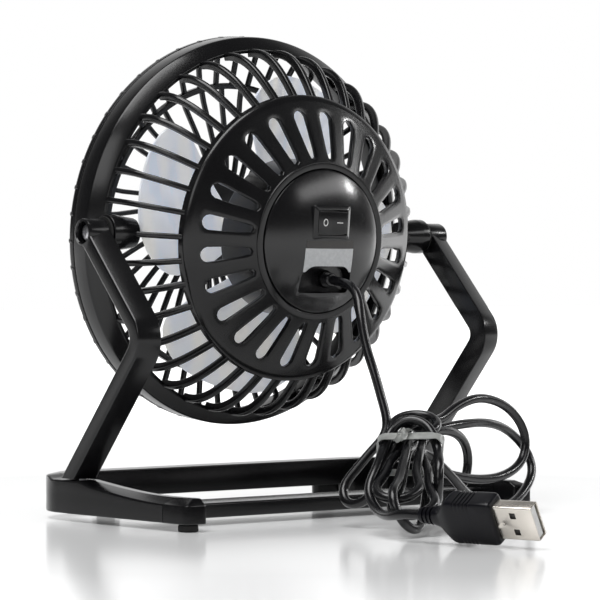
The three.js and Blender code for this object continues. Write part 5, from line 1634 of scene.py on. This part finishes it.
    def tongue(self, paints: Paints) -> None:
        """Adds the white tongue with its four contacts; its rear, deep in the shell, is painted dark as
        painted shade.
        """
        low = -self.shell_thickness / 2 + 0.4 + GAP
        high = low + 2.6
        side = self.shell_width / 2 - 0.4 - GAP
        corners = rectangle((low, -side), (high, side))
        # Painted shade: the rear of the white tongue, inside the shell, takes the dark band paint; only its
        # tip keeps the white.
        for name, slot, paint, nodes, ends in (
                ("usb_tongue_shaded_rear", Slot.CORD, paints.band, ["usb_tongue"], ((-5, 0.1), (9.0, 0.1))),
                ("usb_tongue_tip", Slot.TIE, paints.white, [], ((9.0, 0.1), (13.0, 0.1), (13.2, 0.3)))):
            rows = [[Vector((x, v, w)) for v, w in rounded(corners, r, 2)] for x, r in ends]
            self.settle(smoothed(Draft().skin(rows).build(name), 35), paint, nodes)
        for number, place in enumerate(self.contacts, 1):
            strip = [Vector((x, high, z)) for x, z in rectangle((3.5, place - 0.5), (12.2, place + 0.5))]
            contact = Draft().plate(strip, (0, 0.12, 0)).build(f"usb_contact_{number}")
            self.settle(contact, paints.nickel, [])

    def build(self, paints: Paints) -> list[str]:
        """Builds and dresses the plug, and hands back its pieces' names."""
        self.grip(paints)
        self.shell(paints)
        self.tongue(paints)
        names = ["usb_grip_moulding", "usb_shell_nickel", "usb_tongue_shaded_rear", "usb_tongue_tip"]
        return names + [f"usb_contact_{number}" for number in range(1, len(self.contacts) + 1)]


@dataclass
class Hank:
    """The folded middle of the lead: its axes, and where its legs lie in the tie and at their folds."""

    top: Vector = field(default_factory=lambda: Vector((2.0, 72.0, 29.5)))
    foot: Vector = field(default_factory=lambda: Vector((29.0, 97.0, 9.8)))
    tie_a: float = 3.5
    in_tie: dict[int, Pair] = field(default_factory=lambda: {
        2: (0, -2.9), 3: (3, -1.2), 4: (-3, -1.2), 5: (-1.8, 2.6), 6: (1.8, 2.6)})
    spread: dict[int, Pair] = field(default_factory=lambda: {
        1: (-4.5, 3.5), 2: (1, -6.5), 3: (7.5, -2.6), 4: (-3.5, -3), 5: (-9, 0.4), 6: (1.6, 1.4)})

    def axes(self) -> tuple[Vector, Vector, Vector]:
        """Directions along the hank, across its flat side and out of it."""
        along = (self.foot - self.top).normalized()
        across = Vector((along.y, -along.x, 0)).normalized()
        return along, across, along.cross(across)

    def spots(self, *places: Point) -> list[Vector]:
        """Points from their distances along, across and out."""
        along, across, out = self.axes()
        return [self.top + along * a + across * b + out * c for a, b, c in places]

    def leg(self, number: int, down: bool, end: float) -> list[Vector]:
        """One leg between the tie and its fold.

        Args:
            number: Its number.
            down: Whether the lead runs from the tie to the fold.
            end: Where it ends, along the hank.

        Returns:
            Its points, in the lead's order.
        """
        (b0, c0), (b1, c1) = self.in_tie[number], self.spread[number]
        length = (self.foot - self.top).length
        places = []
        for a in (self.tie_a, 12, 22, 32, end):
            t = (a - self.tie_a) / (length - self.tie_a)
            share = min(1.0, 1.6 * t / (0.6 + t))
            places.append((a, lerp(b0, b1, share), lerp(c0, c1, share)))
        return self.spots(*(places if down else places[::-1]))

    def fold(self, first: int, second: int, base: float) -> list[Vector]:
        """Round fold from one leg to the next, from a place along the hank."""
        (b0, c0), (b1, c1) = self.spread[first], self.spread[second]
        reach = abs(b1 - b0) / 2
        turns = [radians(a) for a in (30, 60, 90, 120, 150)]
        shares = [(1 - cos(a)) / 2 for a in turns]
        return self.spots(*((base + reach * sin(a), lerp(b0, b1, t), lerp(c0, c1, t))
                            for a, t in zip(turns, shares)))


@dataclass
class Lead:
    """The USB lead: one continuous length from the strain relief, through a tied hank, to the plug."""

    diameter: float = 3.2
    spacing: float = 1.6
    least_bend: float = 7.6
    easing: float = 0.26
    last_easing: float = 0.24
    loop_span: float = 9.5
    parting_share: float = 0.65
    tube_step: float = 0.9
    start: Vector = field(default_factory=lambda: Vector((-3.0, 22.86, 82.6)))
    blend_end: Vector = field(default_factory=lambda: Vector((3.3, 52.5, 52.1)))
    hank: Hank = field(default_factory=Hank)
    run: tuple[Point, ...] = (
        (-3, 28, 81.8), (-2.6, 32.5, 80.8), (-1.5, 37, 78.6), (0.3, 41, 74.6), (2, 44.3, 69),
        (2.9, 47.3, 62.5), (3.3, 50, 56.7), (3.3, 52.5, 52.1), (2.7, 55.5, 43.6), (2.9, 58.5, 36.5))
    side_loop: tuple[Point, ...] = (
        (4.4, 60.4, 31.2), (7.4, 59.6, 27.4), (11, 58, 23.2), (14.8, 57.2, 18.6), (19, 57, 12.9),
        (22, 58.4, 8.2), (22.2, 61.6, 5.6), (20.2, 64.6, 7.6), (18, 67, 11.6), (16, 69.6, 16.2),
        (14, 72, 21.2))
    arch: tuple[Point, ...] = (
        (9.1, 5.6, -1), (6.4, 3.6, -4.6), (3, 0.4, -6.6), (-0.8, -3, -5.8), (-2.6, -5.9, -2.2),
        (-1.4, -7.4, 2), (3, -7.6, 4.4), (9, -7, 4.6), (16, -6.2, 4.8), (25, -6.4, 4.8), (34, -6.7, 4.6),
        (41.7, -6.8, 4.2))
    crown: tuple[Point, ...] = (
        (0.5, -2.5, -3), (-1.5, -6, -3), (-4, -8.8, -3), (-7.4, -8.4, -3), (-9.4, -4.2, -3), (-9.6, 1, -3),
        (-8.2, 5.6, -3), (-5, 8.4, -2.8), (-1, 7.6, -2.4), (2, 5, -2))
    loops: tuple[Point, ...] = (
        (-5, 63.6, 33.6), (-12, 61, 34.4), (-21.4, 58.5, 34.8), (-30, 56.5, 38.4), (-41.1, 54.5, 41.2),
        (-52.3, 52.5, 40.1), (-62.8, 50.5, 35.5), (-68.1, 50.5, 28.6), (-68.2, 50.8, 21.6),
        (-62.4, 52.8, 16.6), (-52.9, 55, 13.8), (-40.8, 57.8, 13.4), (-28.8, 61, 14.8), (-18, 63.3, 17.2),
        (-10.6, 62.8, 21), (-7, 61.4, 25.8), (-9.8, 59.8, 29.6), (-16, 58.8, 31), (-23.7, 57.2, 31.8),
        (-36, 54.6, 32.6), (-51.2, 49, 32.3), (-63.5, 44.6, 30), (-72.6, 42.5, 25.3), (-77.5, 43.5, 18.7),
        (-75.2, 46.6, 12.8), (-67, 50.5, 6.8), (-57, 54.5, 3.4), (-47, 58.5, 3), (-38, 62.3, 4.6),
        (-28.5, 66, 8.6), (-21.3, 69, 12.5), (-15, 71, 16.6), (-9.6, 72, 20.2), (-6.2, 72.2, 22.6))
    small_loop: tuple[Point, ...] = (
        (-6.8, 66.8, 28.6), (-11.6, 64.9, 30.4), (-17, 62.9, 31.2), (-23.8, 60.7, 30.7), (-30.5, 57.8, 28.9),
        (-35.8, 55.2, 25.6), (-38.4, 54, 20.8), (-37.5, 54.1, 15.4), (-33.4, 56.2, 10.6), (-27, 60, 7.4),
        (-17.1, 66, 5.2), (-7.8, 73, 4.6), (0.4, 80.6, 5.8), (5, 86.4, 8.8), (7.6, 90.8, 12.6))
    near_arch: tuple[Point, ...] = (
        (31.5, -10.8, 2), (22, -10.6, -0.6), (15.5, -9.8, -3), (11, -8.8, -5.2), (7.5, -7.2, -7.2),
        (4.2, -3.6, -8.4), (2.6, 0.6, -8.4), (3.2, 4.4, -7), (5.6, 6.6, -5.2), (10, 8, -4.4),
        (18, 8.9, -4.2), (26.5, 9.8, -3.4))
    tail: tuple[Point, ...] = (
        (31.4, 84.5, 15.3), (33.9, 87.7, 11.4), (35.6, 92.8, 8.7), (38.6, 100, 7.6), (41.5, 107.5, 8))

    def route(self, plug: Plug) -> list[tuple[list[Vector], float]]:
        """The route before it is settled, as stretches of points, each with how firmly it keeps its place."""
        hank = self.hank
        finish, way = plug.lead_end(), plug.lead_direction()
        free, loose, firm = 0.015, 0.03, 0.1
        return [
            ([self.start, *map(Vector, self.run)], 0.15), ([Vector(p) for p in self.side_loop], firm),
            (hank.spots(*self.arch), loose), (hank.fold(1, 2, 50.5), loose), (hank.leg(2, False, 50), free),
            (hank.spots(*self.crown), 0.08), (hank.leg(3, True, 38), free), (hank.fold(3, 4, 38.5), loose),
            (hank.leg(4, False, 38), free), (hank.spots((-3.5, -2.4, 0.2)), loose),
            ([Vector(p) for p in self.loops], firm), (hank.leg(5, True, 42), free),
            (hank.fold(5, 6, 42.5), loose), (hank.leg(6, False, 42), free),
            (hank.spots((-2.5, 0.4, 4.2)), loose),
            ([Vector(p) for p in self.small_loop], firm), (hank.spots(*self.near_arch), loose),
            ([Vector(p) for p in self.tail], firm), ([finish - way * 5, finish - way * 2, finish], 0.3)]

    def drawn(self, plug: Plug) -> tuple[np.ndarray, np.ndarray]:
        """Evenly spaced points of the route, and how firmly each keeps its place."""
        stretches = self.route(plug)
        per_span = 12
        curve = np.array(
            [tuple(p) for p in curve_points([p for points, _ in stretches for p in points], per_span)])
        holds = np.repeat([hold for points, hold in stretches for _ in points], per_span)[:len(curve)]
        lengths = np.concatenate([[0], np.cumsum(np.linalg.norm(curve[1:] - curve[:-1], axis=1))])
        places = np.linspace(0, lengths[-1], round(lengths[-1] / self.spacing) + 1)
        points = np.stack([np.interp(places, lengths, curve[:, axis]) for axis in range(3)], axis=1)
        return points, np.interp(places, lengths, holds)

    def eased(self, now: np.ndarray, amount: float) -> None:
        """Irons out kinks in place, with little loss of the curve's size."""
        bend = np.zeros_like(now)
        bend[1:-1] = (now[:-2] + now[2:]) / 2 - now[1:-1]
        now[2:-2] += (bend[2:-2] - (bend[1:-3] + bend[3:-1]) / 2) * amount

    def opened(self, now: np.ndarray) -> None:
        """Opens, in place, bends that are tighter than the least."""
        least = self.least_bend
        for k in (2, 4):
            middle = (now[:-2 * k] + now[2 * k:]) / 2 - now[k:-k]
            half = np.linalg.norm(now[2 * k:] - now[:-2 * k], axis=1) / 2
            allowed = least - np.sqrt(least ** 2 - np.minimum(half, least * 0.98) ** 2)
            rise = np.linalg.norm(middle, axis=1)
            move = middle * (np.maximum(rise - allowed, 0) / np.maximum(rise, 1e-9) * 0.35)[:, None]
            now[k:-k] += move
            now[:-2 * k] -= move / 2
            now[2 * k:] -= move / 2

    def parted(self, now: np.ndarray, pairs: tuple[np.ndarray, np.ndarray], amount: float,
               most: float) -> None:
        """Pushes apart, in place, pairs of points that are closer than the lead is thick."""
        first, second = pairs
        gap = now[first] - now[second]
        distance = np.linalg.norm(gap, axis=1)
        move = gap * (np.clip(self.diameter - distance, 0, None) / np.maximum(distance, 1e-6)
                      * amount)[:, None]
        total = np.zeros_like(now)
        np.add.at(total, first, move)
        np.add.at(total, second, -move)
        now += np.clip(total, -most, most)

    def settled(self, plug: Plug, rounds: int = 400, last_rounds: int = 24) -> list[Vector]:
        """Lets the route settle: strands lie beside each other and on the floor, and no bend is too tight.

        Args:
            plug: The plug that the route ends at.
            rounds: Number of steps.
            last_rounds: Number of steps that only iron out kinks.

        Returns:
            The settled points.
        """
        home, holds = self.drawn(plug)
        now = home.copy()
        count = len(now)
        step = float(np.linalg.norm(home[1:] - home[:-1], axis=1).mean())
        every = np.triu_indices(count, int(self.loop_span / step))
        held = np.zeros(count, bool)
        held[:5] = held[-5:] = True
        floor = self.diameter / 2 + 0.05
        pairs = every
        for number in range(rounds):
            if number % 8 == 0:
                near = np.linalg.norm(now[every[0]] - now[every[1]], axis=1) < self.diameter + 3
                pairs = (every[0][near], every[1][near])
            self.eased(now, self.easing)
            self.opened(now)
            fade = clamp(1 - (number / rounds - 0.6) * 2.2, 0.15, 1)
            now += (home - now) * (holds * fade)[:, None]
            for _ in range(2):
                edge = now[1:] - now[:-1]
                length = np.linalg.norm(edge, axis=1, keepdims=True)
                change = edge * ((length - step) / length) / 4
                now[:-1] += change
                now[1:] -= change
            for _ in range(3):
                self.parted(now, pairs, 0.25, 0.6)
            now[:, 2] = np.maximum(now[:, 2], floor)
            now[held] = home[held]
        for number in range(last_rounds):
            self.eased(now, self.last_easing)
            if number < last_rounds * self.parting_share:
                self.parted(now, pairs, 0.06, 0.1)
            now[:, 2] = np.maximum(now[:, 2], floor)
            now[held] = home[held]
        return [Vector(p) for p in now]

    def tube(self, path: Sequence[Vector], sides: int = 16) -> Draft:
        """Round tube along a path, with no twist."""
        rows = []
        normal = Vector((1, 0, 0))
        for i, point in enumerate(path):
            along = (path[min(i + 1, len(path) - 1)] - path[max(i - 1, 0)]).normalized()
            normal = (normal - along * normal.dot(along)).normalized()
            side = along.cross(normal)
            rows.append([point + (normal * cos(a) + side * sin(a)) * (self.diameter / 2)
                         for a in (k / sides * TURN for k in range(sides))])
        return Draft().skin(rows)

    def build(self, paints: Paints, plug: Plug) -> None:
        path = even_points(curve_points(self.settled(plug), 4), self.tube_step)
        pieces = [*plug.build(paints), Tie(self.hank).build(paints, path), "strain_relief_boot"]
        length = sum((b - a).length for a, b in zip(path, path[1:]))
        log.info("The lead is %.0f mm long", length)
        cord = smoothed(self.tube(path).build("usb_lead", 0.0001), 60)
        cord.data.materials.append(paints.cord)
        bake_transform(cord)
        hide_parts("cord_run", "cord_side_loop", "cord_hank", "cord_loops", "cord_small_loop",
                    "cord_tail")
        [p * MM for p in path]


@dataclass
class Tie:
    """Crumpled milky band round the hank, with its two short ends."""

    hank: Hank
    place: float = 10.5
    reach: float = 3.0
    width: float = 4.6
    clearance: float = 1.95
    bundle: float = 9.0
    arch_out: float = -6.1
    arch_across: float = 5.0
    ends: tuple[Triple, ...] = ((0.2, 0.9, 7.5), (2.8, -0.5, 6.0))

    def outline(self, path: Sequence[Vector]) -> list[Pair]:
        """Tight outline, as (across, out), round the strands that pass through the tie."""
        along, across, out = self.hank.axes()
        cloud = []
        for point in path:
            here = point - self.hank.top
            a, b, c = here.dot(along), here.dot(across), here.dot(out)
            in_arch = c < self.arch_out and b < self.arch_across
            if abs(a - self.place) < self.reach and max(abs(b), abs(c)) < self.bundle and not in_arch:
                cloud += [(b + self.clearance * cos(k / 16 * TURN), c + self.clearance * sin(k / 16 * TURN))
                          for k in range(16)]
        middle = Vector((sum(p[0] for p in cloud), sum(p[1] for p in cloud))) / len(cloud)
        count = 96
        made = []
        for i in range(count):
            way = Vector((cos(i / count * TURN), sin(i / count * TURN)))
            made.append(max((Vector(p) - middle).dot(way) for p in cloud))
        points = []
        for i in range(count):
            here, after = i / count * TURN, (i + 1) / count * TURN
            h0, h1 = made[i], made[(i + 1) % count]
            spin = sin(after - here)
            x = (h0 * sin(after) - h1 * sin(here)) / spin
            y = (h1 * cos(here) - h0 * cos(after)) / spin
            points.append((middle.x + x, middle.y + y))
        return points

    def crumple(self, turn: float, edge: float) -> float:
        """Height of the band's wrinkles, at an angle round it and a place across it from -1 to 1."""
        folds = sin(turn * 7 + edge * 2.2) * sin(turn * 3 + 1.1) + 0.5 * sin(turn * 17 + edge * 4)
        return 0.28 * (1 + folds) * (0.45 + 0.55 * abs(edge))

    def band(self, outline: list[Pair]) -> Draft:
        """The band itself."""
        rows = []
        count = len(outline)
        middle = (sum(p[0] for p in outline) / count, sum(p[1] for p in outline) / count)
        for b, c in outline:
            turn = atan2(c - middle[1], b - middle[0])
            away = Vector((b - middle[0], c - middle[1])).normalized()
            shift = 0.5 * sin(turn * 2 + 0.6) + 0.35 * sin(turn * 5)
            half = self.width / 2 * (1 + 0.16 * sin(turn * 4 + 2) + 0.1 * sin(turn * 11))
            loop = []
            for side, edges in ((0.0, (-1, -0.6, -0.2, 0.2, 0.6, 1)), (0.3, (1, 0.6, 0.2, -0.2, -0.6, -1))):
                for edge in edges:
                    lift = self.crumple(turn, edge) + side
                    loop.append((self.place + shift + half * edge, b + away.x * lift, c + away.y * lift))
            rows.append(self.hank.spots(*loop))
        return Draft().skin(rows, ring=True)

    def end(self, start: Point, lean: float, length: float, phase: float) -> Draft:
        """One crumpled end, from a point (along, across, out) of the band."""
        rows = []
        for i in range(15):
            share = i / 14
            a = start[0] + length * share * 0.8
            b = start[1] + lean * length * share + 0.5 * sin(share * 6 + phase)
            c = start[2] - 0.5 - 1.3 * sin(share * pi) * (1 - 0.4 * share) + 0.4 * share
            half = 1.5 * (1 - 0.35 * share)
            roll = 0.7 * sin(share * 5 + phase)
            loop = []
            for side, edges in ((0.0, (-1, -0.33, 0.33, 1)), (-0.28, (1, 0.33, -0.33, -1))):
                for edge in edges:
                    ripple = 0.22 * sin(edge * 4 + share * 9 + phase)
                    loop.append((a + 0.25 * half * edge, b + half * edge * cos(roll),
                                 c + half * edge * sin(roll) + side + ripple))
            rows.append(self.hank.spots(*loop))
        return Draft().skin(rows)

    def build(self, paints: Paints, path: Sequence[Vector]) -> str:
        """Builds and dresses the tie, and hands back its name."""
        outline = self.outline(path)
        draft = self.band(outline)
        top = min(c for _, c in outline)
        for number, (b, lean, length) in enumerate(self.ends):
            draft.add(self.end((self.place - 1.5, b, top), lean * 0.6, length, 1.7 * number))
        tie = smoothed(draft.build("wire_tie_band"), 50)
        finished(tie, Body.STAND, paints.tie, ["cord_tie"])
        return tie.name


# ---------------------------------------------------------------- small parts and studio


@dataclass
class SmallParts:
    """Pieces that keep their plain shape and only get a finish."""

    def build(self, paints: Paints) -> None:
        """Gives each remaining piece its material."""
        dress = {
            "satin": ("motor_bush",), "rubber": ("pivot_washer_right", "pivot_washer_left"),
            "steel": ("arm_screw_right", "arm_screw_left", "motor_body", "motor_screw_left",
            "motor_screw_right", "switch_terminal_left", "switch_terminal_right", "motor_shaft")}
        for finish, names in dress.items():
            for name in names:
                thing = frame["nodes"][name]
                thing.data.materials.clear()
                thing.data.materials.append(getattr(paints, finish))
                smoothed(thing, 35)
                log.info("%s is finished in %s", name, finish)


@dataclass
class Studio:
    """Pale floor, soft boxes and the camera."""

    eye: Triple = (0.6410, 0.8143, 0.0823)
    right: Triple = (-0.7827, 0.6224, 0.0)
    back: Triple = (0.6224, 0.7827, 0.0065)
    lens: float = 175.43
    sensor: float = 36.0
    wall_light: float = 1.0
    room_light: float = 0.09
    wall_edges: Pair = (0.45, 0.9)
    glow_edges: Pair = (0.22, 0.7)

    def camera(self) -> None:
        """Places the camera behind the fan, low and on its +X side."""
        data = bpy.data.cameras.new("camera")
        data.lens = self.lens
        data.sensor_width = self.sensor
        camera = linked("camera", data)
        right, back = Vector(self.right).normalized(), Vector(self.back).normalized()
        up = back.cross(right)
        turn = Matrix((right, up, back)).transposed().to_4x4()
        camera.matrix_world = Matrix.Translation(self.eye) @ turn
        bpy.context.scene.camera = camera

    def floor(self) -> None:
        """Adds a white, slightly glossy floor."""
        mesh = bpy.data.meshes.new("floor")
        size = 6.0
        corners = rectangle((-size, -size), (size, size))
        mesh.from_pydata([(x, y, 0) for x, y in corners], [], [(0, 1, 2, 3)])
        floor = linked("floor", mesh)
        shader = Shader("white_floor", Specular_IOR_Level=0.5, Emission_Strength=0.85)
        cloud = shader.noise(3, 2)
        away = shader.node("ShaderNodeVectorMath", {"operation": "LENGTH"}, {0: shader.place((1, 1, 1))},
                           "Value")
        glow = shader.mix(away.between(*self.glow_edges), (0.05, 0.05, 0.05), (1, 1, 1))
        tone = shader.mix(cloud, (0.9, 0.905, 0.91), (0.93, 0.932, 0.935))
        floor.data.materials.append(
            shader.feed(Base_Color=tone, Roughness=cloud * 0.03 + 0.14, Emission_Color=glow))

    def sky(self) -> None:
        """Adds the surroundings: white to the camera, a bright wall behind the fan, dim elsewhere."""
        world = bpy.data.worlds.new("studio")
        world.use_nodes = True
        room = Nodes(world.node_tree)
        way = room.node("ShaderNodeTexCoord", {}, {}, "Generated")
        facing = room.node("ShaderNodeVectorMath", {"operation": "DOT_PRODUCT"},
                           {0: way, 1: (-self.eye[0], -self.eye[1], 0.0)}, "Value")
        wall = facing.between(*self.wall_edges) * (self.wall_light - self.room_light) + self.room_light
        seen = room.node("ShaderNodeLightPath", {}, {}, "Is Camera Ray")
        strength = seen + (1 - seen) * wall
        background = world.node_tree.nodes["Background"]
        background.inputs["Color"].default_value = (1, 1, 1, 1)
        world.node_tree.links.new(strength.socket, background.inputs["Strength"])
        bpy.context.scene.world = world

    def soft_box(self, name: str, place: Point, size: Pair, power: float, aim: Point = (0, 0, 0.08)) -> None:
        """Adds one soft box.

        Args:
            name: Its name.
            place: Where it hangs, in metres.
            size: Its width and height.
            power: Its power in watts.
            aim: What it faces.
        """
        data = bpy.data.lights.new(name, "AREA")
        data.shape = "RECTANGLE"
        data.size, data.size_y = size
        data.energy = power
        light = linked(name, data)
        light.location = place
        light.rotation_euler = (Vector(place) - Vector(aim)).to_track_quat("Z", "Y").to_euler()

    def build(self) -> None:
        """Builds the studio."""
        bpy.context.scene.view_settings.view_transform = "Standard"
        self.sky()
        self.camera()
        self.floor()
        self.soft_box("overhead", (0.35, 0.1, 1.0), (0.6, 0.7), 9)
        self.soft_box("band", (-0.56, 0.66, 0.5), (0.9, 0.18), 1.7)
        self.soft_box("key", (-0.82, 0.39, 0.45), (0.07, 0.07), 1.0)
        self.soft_box("side", (-1.0, -0.1, 0.14), (0.25, 0.5), 0.8)
        self.soft_box("fill", (0.95, 0.5, 0.6), (0.5, 0.5), 2)


def main() -> None:
    """Builds the studio and the fan."""
    logging.basicConfig(level=logging.INFO, format="%(name)s: %(message)s")
    Studio().build()
    paints = Paints()
    MotorCover().build(paints)
    plug = Plug()
    Lead().build(paints, plug)
    RearCage().build(paints)
    FrontGrille().build(paints)
    RockerSwitch().build(paints)
    Impeller().build(paints)
    Arms().build(paints)
    Base().build(paints)
    SmallParts().build(paints)


if __name__ == "__main__":
    main()
